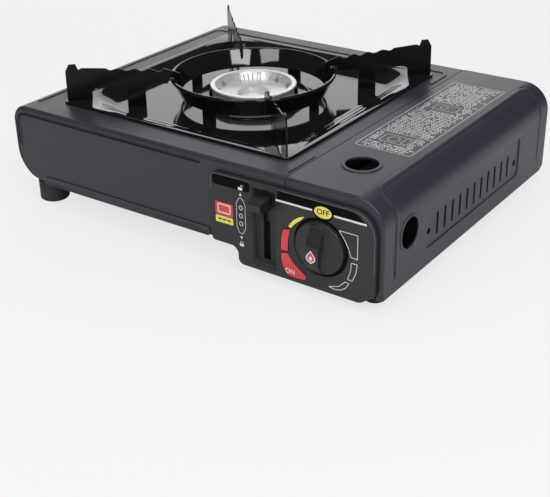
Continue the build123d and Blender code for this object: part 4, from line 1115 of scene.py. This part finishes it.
@dataclass
class ControlPanel(Assembly):
    """The front panel with its printed scale, its sticker and the marks beside the lever."""

    ink: Printer = Printer(Face.PANEL, 129.0)
    thin_printer: Printer = Printer(Face.PANEL, 129.0, 0.03)
    overprint: Printer = Printer(Face.PANEL, 129.1, 0.03)
    line_z: float = 65.7
    line_half: float = 0.75
    line_gap: float = 8.6
    painted_highlight_width: float = 0.55
    outline_width: float = 0.62
    sign_width: float = 0.5
    ring_width: float = 0.6
    line_x: Flat = (88.8, 160.9)
    oval: Flat = (127.2, 66.0)
    oval_size: Flat = (7.0, 4.3)
    oval_rim: float = 1.3
    well: Flat = (19.6, 21.9)
    well_floor: float = -127.6
    knob_axis: Flat = (125.2, 39.2)
    lever_x: float = 58.6

    def build(self) -> None:
        """Builds the panel's pieces."""
        self.shop.skin("control_panel", Slot.PANEL)
        self._dark_bands_shadow_and_highlights()
        self._off_mark()
        self._scale()
        self._outlines()
        self._sticker()
        self._lever_marks()

    def _mark(self, name: str, ink: Ink, outline: Sequence[Flat], layer: int = 0) -> None:
        """Prints one filled mark.

        Args:
            name: the mark's name.
            ink: its ink.
            outline: its corners.
            layer: how many layers lie under it.
        """
        self.shop.fit(self.ink.patch(name, outline, layer=layer), ink)

    def _dark_bands_shadow_and_highlights(self) -> None:
        """Lays dull dark bands along the panel's top, a black ring of painted shadow in the gap round the
        knob, and pale lines of painted highlight along the panel's edges.
        """
        left = rounded(rectangle(34.0, 65.0, 66.8, 72.9), 2.5, steps=3)
        right = [(90.2, 66.4), (161.5, 66.4), *arc((146.5, 56.4), 16.5, 42, 90, 8), (90.2, 72.9)]
        # the ring round the knob is painted shadow in the gap between knob and panel
        dark_bands_and_shadow = [self.thin_printer.patch("dark_bands_and_shadow", left, right), self._painted_well_shadow()]
        self.shop.fit(join("panel_dark_bands_and_shadow", dark_bands_and_shadow), Ink.FILM)
        inner = [(32.4, 60.0), (32.4, 68.4), *arc((37.0, 68.7), 4.6, 180, 90, 4), (66.6, 73.3)]
        outer = [(90.0, 73.3), *arc((150.0, 56.0), 17.3, 90, 0, 10), (167.3, 30.0)]
        # pale lines along the panel's top and side edges: a painted highlight of the lit edges
        lines = self.thin_printer.stroke("panel_painted_edge_highlights", self.painted_highlight_width, inner, outer, closed=False)
        self.shop.fit(lines, Ink.EDGE)

    def _painted_well_shadow(self) -> bpy.types.Object:
        """Makes the black ring on the well's floor round the knob, painted shadow in the gap between knob and
        panel.

        Returns:
            The new object.
        """
        x, z = self.knob_axis
        inner, outer = self.well
        ring = turned("painted_well_shadow_ring", rectangle(inner, 0.02, outer, 0.07), (0.0, 0.0), 96)
        upright = Matrix.Rotation(math.pi / 2, 4, "X")
        ring.matrix_world = Matrix.Translation(at(x, self.well_floor, z)) @ upright
        settle(ring)
        return ring

    def _off_mark(self) -> None:
        """Prints the OFF oval on its line."""
        low, high, (x0, x1) = self.line_z - self.line_half, self.line_z + self.line_half, self.line_x
        bars = [rectangle(x0, low, self.oval[0] - self.line_gap, high),
                rectangle(self.oval[0] + self.line_gap, low, x1, high)]
        self.shop.fit(self.ink.patch("off_line", *bars), Ink.WHITE)
        a, b = self.oval_size
        self._mark("off_oval_edge", Ink.BLACK, ellipse(self.oval, a + self.oval_rim, b + self.oval_rim, 40))
        self._mark("off_oval", Ink.YELLOW, ellipse(self.oval, a, b, 40), 1)
        self.shop.fit(self.ink.words("off_letters", "OFF", self.oval, 4.0, 2), Ink.BLACK)

    def _scale(self) -> None:
        """Prints the coloured scale left of the knob."""
        yellow = [(112.6, 59.2), (107.6, 57.4), (103.4, 54.2), (100.4, 50.6), (99.0, 48.4), (101.3, 47.4),
                  (103.4, 50.2), (106.3, 53.0), (109.6, 55.6)]
        upper = rounded([(94.7, 44.9), (93.2, 40.0), (92.6, 34.0), (92.6, 28.4), (98.6, 28.9), (98.5, 34.0),
                         (99.1, 40.0), (100.5, 46.3)], 1.2, steps=2)
        lower = rounded([(92.8, 26.2), (98.5, 27.4), (101.2, 22.9), (105.4, 19.0), (110.2, 15.6),
                         (113.9, 13.2), (112.9, 9.9), (105.5, 9.6), (98.3, 9.9), (94.4, 15.6),
                         (92.9, 20.6)], 1.4, steps=2)
        edges = [self._grown(line, by) for line, by in ((yellow, 0.55), (upper, 0.5), (lower, 0.5))]
        self.shop.fit(self.ink.patch("scale_edges", *edges), Ink.BLACK)
        self._mark("scale_yellow", Ink.YELLOW, yellow, 1)
        self.shop.fit(self.ink.patch("scale_red", upper, lower, layer=1), Ink.RED)
        self.shop.fit(self.ink.words("on_letters", "ON", (100.2, 13.4), 3.6, 2), Ink.WHITE)

    @staticmethod
    def _grown(outline: Sequence[Flat], by: float) -> list[Flat]:
        """Grows an outline away from its middle.

        Args:
            outline: its corners.
            by: how far, in millimetres.

        Returns:
            The grown outline.
        """
        corners = [Vector(corner) for corner in outline]
        nexts = corners[1:] + corners[:1]
        area = sum(here.x * ahead.y - ahead.x * here.y for here, ahead in zip(corners, nexts))
        sign = 1.0 if area > 0 else -1.0
        grown: list[Flat] = []
        for i, (here, ahead) in enumerate(zip(corners, nexts)):
            onward, behind = (ahead - here).normalized(), (here - corners[i - 1]).normalized()
            out = Vector((onward.y + behind.y, -onward.x - behind.x)).normalized() * sign * by
            grown.append((outline[i][0] + out.x, outline[i][1] + out.y))
        return grown

    def _outlines(self) -> None:
        """Prints the white outlines right of the knob."""
        shapes = [
            rounded([(139.9, 56.2), (154.4, 56.2), (154.4, 38.4), (149.5, 38.8), (147.6, 44.4),
                     (144.5, 50.0)], 0.5),
            rounded([(149.8, 34.6), (154.4, 34.6), (153.4, 27.6), (150.6, 21.0), (147.0, 21.4),
                     (149.2, 27.8)], 0.5),
            rounded([(148.2, 18.3), (145.1, 18.7), (140.0, 13.6), (131.9, 11.2), (136.8, 10.5),
                     (141.2, 11.1), (145.4, 13.9)], 0.4),
        ]
        self.shop.fit(self.ink.stroke("level_outlines", self.outline_width, *shapes), Ink.WHITE)

    def _sticker(self) -> None:
        """Prints the plain two-colour sticker at the panel's left."""
        self._mark("sticker_base", Ink.BLACK, rounded(rectangle(35.6, 35.4, 51.9, 52.4), 1.6))
        self._mark("sticker_red", Ink.RED, rounded(rectangle(35.9, 41.6, 51.6, 52.1), 1.1), 1)
        self._mark("sticker_yellow", Ink.YELLOW, rounded(rectangle(35.9, 35.7, 51.6, 41.2), 1.1), 1)
        ring = rounded(rectangle(38.3, 43.8, 48.9, 50.2), 1.0)
        self.shop.fit(self.overprint.stroke("sticker_ring", 1.2, ring), Ink.WHITE)
        dashes = [rectangle(x, 38.0, x + 3.2, 39.1) for x in (38.2, 42.2, 46.2)]
        self.shop.fit(self.overprint.patch("sticker_dashes", *dashes), Ink.BLACK)

    def _lever_marks(self) -> None:
        """Prints the open and shut padlocks, the arrows and the column left of the lever."""
        x = self.lever_x
        up = [(x - 1.2, 60.9), (x + 1.2, 60.9), (x, 63.4)]
        down = [(x - 1.2, 29.2), (x, 26.7), (x + 1.2, 29.2)]
        column = rounded([(x - 1.4, 59.0), (x + 1.4, 59.0), (x + 3.8, 54.6), (x + 3.8, 36.2), (x + 1.4, 31.6),
                          (x - 1.4, 31.6), (x - 3.8, 36.2), (x - 3.8, 54.6)], 0.6, steps=2)
        rings = [arc((x, z), 1.5, 0, 345, 14) for z in (39.2, 45.4, 51.6)]
        parts = [self.ink.patch("arrows", up, down), self.ink.stroke("lever_column", self.sign_width, column),
                 self.ink.stroke("column_rings", self.ring_width, *rings)]
        for z, shackle in ((66.6, 1.5), (22.6, 0.0)):
            low, high = z - 1.3, z + 0.9
            lock = rounded(rectangle(x - 1.9, low, x + 1.9, high), 0.3, steps=1)
            bow = [(x - 1.15 + shackle, high), *arc((x + shackle, z + 1.5), 1.15, 180, 0, 8)]
            if not shackle:
                bow.append((x + 1.15, high))
            parts += [self.ink.patch("lock_body", lock),
                      self.ink.stroke("lock_bow", self.sign_width, bow, closed=False)]
        self.shop.fit(join("lever_marks", parts), Ink.WHITE)


@dataclass
class GasKnob(Assembly):
    """The gas knob, its shaft and the flame sign on its grip."""

    ink: Printer = Printer(Face.PANEL, 140.5, 0.02)
    sign: Flat = (124.8, 36.9)

    def build(self) -> None:
        """Builds the knob's pieces."""
        self.shop.skin("knob", Slot.KNOB, Body.KNOB, 40.0)
        self.shop.skin("valve_shaft", Slot.STEEL, Body.KNOB)
        flames = (("edge", Ink.WHITE, 5.0, 5.0, 0.0), ("field", Ink.RED, 3.9, 3.9, -0.1),
                  ("heart", Ink.WHITE, 1.7, 1.9, -0.9))
        for layer, (part, ink, half, tall, raised) in enumerate(flames):
            drop = self.ink.patch(f"flame_{part}", self._drop(half, tall, raised), layer=layer)
            self.shop.fit(drop, ink, Body.KNOB)

    def _drop(self, half: float, tall: float, raised: float) -> list[Flat]:
        """Returns the outline of a drop that points up.

        Args:
            half: half its width.
            tall: half its height.
            raised: how far its middle is moved up.
        """
        x, z = self.sign[0], self.sign[1] + raised
        right: list[Flat] = []
        for i in range(1, 20):
            t = i / 20
            width = half * math.sin(math.pi * t) ** 0.9 * (0.35 + 0.75 * t)
            right.append((width, z + tall - 2 * tall * t))
        left = [(x - width, height) for width, height in reversed(right)]
        return [(x, z + tall), *((x + width, height) for width, height in right), (x, z - tall), *left]


@dataclass
class LockLever(Assembly):
    """The lever that locks the cartridge and what it slides on."""

    def build(self) -> None:
        """Builds the lever's pieces."""
        self.shop.skin("lock_lever", Slot.KNOB, Body.LEVER, 40.0, edge=0.25)
        self.shop.coat_nodes(Slot.BLACK_STEEL, "lever_slide", "lever_keeper", "lever_rail")
        self.shop.coat_nodes(Slot.STEEL, "cartridge_pusher", "pusher_guides")
        self.shop.skin("pusher_pin", Slot.STEEL, Body.PUSHER)


@dataclass
class DripTray(Assembly):
    """The square tray with its dish."""

    def build(self) -> None:
        """Builds the tray."""
        self.shop.skin("drip_tray", Slot.ENAMEL, Body.TRAY, 32.0)


@dataclass
class PanSupport(Assembly):
    """The flared ring with its rolled lip, and the four wings that hang on it."""

    centre: Flat = BURNER_AXIS
    foot: Flat = (59.0, 81.5)
    lip: Flat = (66.1, 95.2)
    lip_radius: float = 1.5
    wall: float = 1.2
    leg_width: float = 12.5
    leg_foot: float = 75.05
    wings: tuple[str, ...] = ("wing_front_left", "wing_front_right", "wing_rear_left", "wing_rear_right")

    def build(self) -> None:
        """Builds the ring and the wings."""
        ring = join("pan_ring", [turned("pan_ring", self._section(), self.centre, 160), self._legs()])
        smooth(ring, 45)
        self.shop.fit(ring, Slot.ENAMEL, Body.PAN_SUPPORT, "support_ring")
        for wing in self.wings:
            self.shop.skin(wing, Ink.WING, Body.PAN_SUPPORT, 30.0, edge=0.3)

    def _legs(self) -> bpy.types.Object:
        """Makes the four legs that carry the ring.

        Returns:
            The new object.
        """
        inner, outer = self.foot[0], self.foot[0] + self.wall
        half = math.degrees(self.leg_width / 2 / inner)
        outline = arc((0.0, 0.0), inner, -half, half, 8) + arc((0.0, 0.0), outer, half, -half, 8)
        rise = self.foot[1] + 0.5 - self.leg_foot
        leg = plate("ring_leg", [at(u, v, self.leg_foot) for u, v in outline], at(0, 0, rise))
        return repeat("ring_legs", leg, [about(self.centre, 90.0 * i) for i in range(4)])

    def _section(self) -> list[Flat]:
        """Returns the ring's section: the flared wall with a lip rolled outwards."""
        (r0, z0), (r1, z1) = self.foot, self.lip
        along = Vector((r1 - r0, z1 - z0)).normalized()
        across = Vector((along.y, -along.x))
        inner = [(r0 + 0.15, z0), (r0, z0 + 0.3)]
        start = math.degrees(math.atan2(across.y, across.x)) + 180
        lip = arc(self.lip, self.lip_radius, start, start - 300, 18)
        outer_foot = Vector(self.foot) + across * self.wall
        outer_top = Vector(self.lip) + across * (self.wall * 0.35) - along * (self.lip_radius * 0.9)
        outer = [(outer_top.x, outer_top.y), (outer_foot.x, outer_foot.y + 0.1), (outer_foot.x - 0.3, z0)]
        return [*inner, *lip, *outer]


@dataclass
class Burner(Assembly):
    """The bright burner head with its ribbed bowl, the core and the cast body under them."""

    centre: Flat = BURNER_AXIS
    groups: int = 10
    first_angle: float = 9.0
    rib_low: Flat = (27.3, 81.0)
    rib_high: Flat = (30.5, 86.3)
    rib_width: float = 0.75
    spread: float = 2.4
    pip_radius: float = 0.8

    def build(self) -> None:
        """Builds the burner's pieces."""
        self.shop.skin("burner_head", Slot.BURNER, degrees=30.0, edge=0.12)
        self.shop.skin("burner_core", Slot.BURNER, degrees=30.0)
        self.shop.skin("burner_body", Slot.CAST)
        self.shop.coat_nodes(Slot.STEEL, "burner_bracket")
        self.shop.skin("bracket_screws", Slot.STEEL)
        self._ribs()

    def _ribs(self) -> None:
        """Makes the raised ribs and pips on the bowl's wall, a pip between the ribs of each pair."""
        (r0, z0), (r1, z1) = self.rib_low, self.rib_high
        half = self.rib_width / 2
        section = [(r0 - 0.5, z0 + 0.1), (r1 - 0.45, z1 - 0.1), (r1 + 0.2, z1 + 0.1), (r0 + 0.3, z0 - 0.2)]
        rib = plate("bowl_rib", [at(r, -half, z) for r, z in section], at(0, 2 * half, 0))
        disc = ellipse((r1 - 1.0, 0.0), self.pip_radius, self.pip_radius, 10)
        pip = plate("bowl_pip", [at(x, y, z1 - 1.2) for x, y in disc], at(-0.2, 0, 0.9))
        angles = [360 / self.groups * i + self.first_angle for i in range(self.groups)]
        pairs = [angle + side * self.spread for angle in angles for side in (-1, 1)]
        for name, source, turns, slot in (("bowl_ribs", rib, pairs, Slot.STEEL),
                                          ("bowl_pips", pip, angles, Slot.BURNER)):
            modify(source, "BEVEL", width=0.2 * MM, segments=2)
            group = repeat(name, source, [about(self.centre, turn) for turn in turns])
            smooth(group, 40)
            self.shop.fit(group, slot)


@dataclass
class GasGear(Assembly):
    """Everything inside: regulator, igniter, pipe, jet, hinge, cradle, and the feet and screws."""

    smooth_nodes: dict[str, Slot] = field(default_factory=lambda: {
        "regulator_body": Slot.CAST,
        "diaphragm_cover": Slot.CAST,
        "regulator_nozzle": Slot.BRASS,
        "inlet_seal": Slot.RUBBER,
        "regulator_screws": Slot.STEEL,
        "ignition_lead": Slot.RUBBER,
        "electrode_insulator": Slot.CERAMIC,
        "spark_electrode": Slot.STEEL,
        "piezo_igniter": Slot.IGNITER,
        "gas_pipe": Slot.PIPE,
        "gas_jet": Slot.BRASS,
        "base_hinge": Slot.STEEL,
        "hinge_pin": Slot.STEEL,
        "foot_front_left": Slot.FOOT,
        "foot_front_right": Slot.FOOT,
        "foot_rear_left": Slot.FOOT,
        "foot_rear_right": Slot.FOOT,
        "foot_screws": Slot.STEEL,
    })
    flat_nodes: tuple[str, ...] = ("cartridge_cradle", "collar_plate", "electrode_bracket", "jet_holder")

    def build(self) -> None:
        """Dresses the inside and the feet."""
        for node, slot in self.smooth_nodes.items():
            self.shop.skin(node, slot)
        self.shop.coat_nodes(Slot.STEEL, *self.flat_nodes)


# ---- stage, light and camera -----------------------------------------------------------------------
def direction(azimuth: float, elevation: float) -> Vector:
    """Returns a direction away from the stove.

    Args:
        azimuth: degrees from the front towards the right.
        elevation: degrees above the table.
    """
    turn, rise = math.radians(azimuth), math.radians(elevation)
    return Vector((math.sin(turn) * math.cos(rise), -math.cos(turn) * math.cos(rise), math.sin(rise)))


@dataclass(frozen=True)
class Softbox:
    """A rectangular studio light that faces the stove. Directions are degrees, lengths metres."""

    name: str
    azimuth: float
    elevation: float
    distance: float
    width: float
    height: float
    radiance: float

    def hang(self, target: Vector) -> None:
        """Makes the light.

        Args:
            target: where it looks.
        """
        away = direction(self.azimuth, self.elevation)
        data = bpy.data.lights.new(self.name, "AREA")
        data.shape = "RECTANGLE"
        data.size, data.size_y = self.width, self.height
        data.energy = self.radiance * math.pi * self.width * self.height
        light = bpy.data.objects.new(self.name, data)
        light.location = target + away * self.distance
        light.rotation_mode = "QUATERNION"
        light.rotation_quaternion = (-away).to_track_quat("-Z", "Y")
        light.visible_camera = False
        bpy.context.collection.objects.link(light)


@dataclass
class Studio:
    """The pale floor, the lights and the camera. The floor's lengths are metres, the eye millimetres."""

    pale: float = 0.91
    floor_glow: float = 0.945
    floor_share: float = 0.78
    floor_colour: float = 0.86
    floor_radius: float = 1.6
    floor_fade: Flat = (0.75, 1.552)
    fill: float = 0.34
    gloss_fill: float = 0.05
    target: Point = (0.0, 0.0, 50.0)
    softboxes: tuple[Softbox, ...] = (
        Softbox("overhead_softbox", 0.0, 86.0, 1.7, 1.3, 1.3, 1.25),
        Softbox("rear_left_softbox", -142.0, 17.0, 1.6, 1.7, 0.85, 1.5),
        Softbox("front_right_softbox", 57.0, 38.0, 1.4, 0.66, 0.34, 8.0),
        Softbox("front_left_softbox", 6.0, 38.0, 1.4, 0.62, 0.30, 5.0),
    )
    eye: Point = (480.6, -679.5, 382.8)
    azimuth: float = 35.528
    elevation: float = 27.692
    roll: float = -1.106
    lens: float = 71.58
    sensor: float = 36.0
    clip: Flat = (0.01, 20.0)

    def build(self) -> None:
        """Builds the stage."""
        self._world()
        self._floor()
        for softbox in self.softboxes:
            softbox.hang(at(*self.target))
        self._camera()

    def _world(self) -> None:
        """Makes the surroundings: pale to the camera, a dim room to gloss, a soft fill to the rest."""
        world = bpy.data.worlds.new("studio_room")
        bpy.context.scene.world = world
        world.use_nodes = True
        graph = Graph(world.node_tree)
        rays = graph.add("LightPath").outputs
        seen, gloss, fill = (graph.add("Background", {"Color": WHITE, "Strength": strength}).outputs[0]
                             for strength in (self.pale, self.gloss_fill, self.fill))
        lit = graph.layer(rays["Is Glossy Ray"], fill, gloss)
        graph.add("OutputWorld", {"Surface": graph.layer(rays["Is Camera Ray"], lit, seen)})

    def _floor(self) -> None:
        """Makes a pale round floor that fades into the background at its rim."""
        bpy.ops.object.select_all(action="DESELECT")
        bpy.ops.mesh.primitive_circle_add(vertices=96, radius=self.floor_radius, fill_type="NGON",
                                          location=(0, 0, -0.0002))
        floor = named("studio_floor")
        settle(floor)
        material = bpy.data.materials.new("studio_floor")
        material.use_nodes = True
        graph = Graph(material.node_tree)
        place = graph.add("TexCoord").outputs["Object"]
        away = graph.add("VectorMath", {0: place}, operation="LENGTH").outputs["Value"]
        near, far = self.floor_fade
        fade = graph.add("MapRange", {"Value": away, "From Min": near, "From Max": far, "To Min": 0.0,
                                      "To Max": 1.0}, interpolation_type="SMOOTHSTEP")
        camera_ray = graph.add("LightPath").outputs["Is Camera Ray"]
        cloth = graph.add("BsdfDiffuse", {"Color": (self.floor_colour,) * 3 + (1.0,)}).outputs[0]
        glow = graph.add("Emission", {"Color": WHITE, "Strength": self.floor_glow}).outputs[0]
        lit = graph.layer(graph.maths("MULTIPLY", camera_ray, self.floor_share), cloth, glow)
        gone = graph.maths("MULTIPLY", fade.outputs["Result"], camera_ray)
        clear = graph.add("BsdfTransparent").outputs[0]
        graph.add("OutputMaterial", {"Surface": graph.layer(gone, lit, clear)})
        floor.data.materials.append(material)

    def _camera(self) -> None:
        """Makes the camera."""
        back, roll = direction(self.azimuth, self.elevation), math.radians(self.roll)
        right = (-back).cross(Vector((0, 0, 1))).normalized()
        up = right.cross(-back)
        side = right * math.cos(roll) + up * math.sin(roll)
        head = up * math.cos(roll) - right * math.sin(roll)
        data = bpy.data.cameras.new("stove_camera")
        data.sensor_width, data.lens = self.sensor, self.lens
        data.clip_start, data.clip_end = self.clip
        camera = bpy.data.objects.new("stove_camera", data)
        turn = Matrix((side, head, back)).transposed().to_4x4()
        camera.matrix_world = Matrix.Translation(at(*self.eye)) @ turn
        bpy.context.collection.objects.link(camera)
        bpy.context.scene.camera = camera


def main() -> None:
    """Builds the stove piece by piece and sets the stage."""
    logging.basicConfig(level=logging.INFO, format="%(name)s: %(message)s")
    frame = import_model()
    shop = Workshop(frame)
    for kind in (Casing, Lid, ControlPanel, GasKnob, LockLever, DripTray, PanSupport, Burner, GasGear):
        LOG.info("building %s", kind.__name__)
        kind(shop).build()
    Studio().build()
    bpy.context.scene.view_settings.view_transform = "Standard"
    LOG.info("%d pieces", shop.count)


if __name__ == "__main__":
    main()
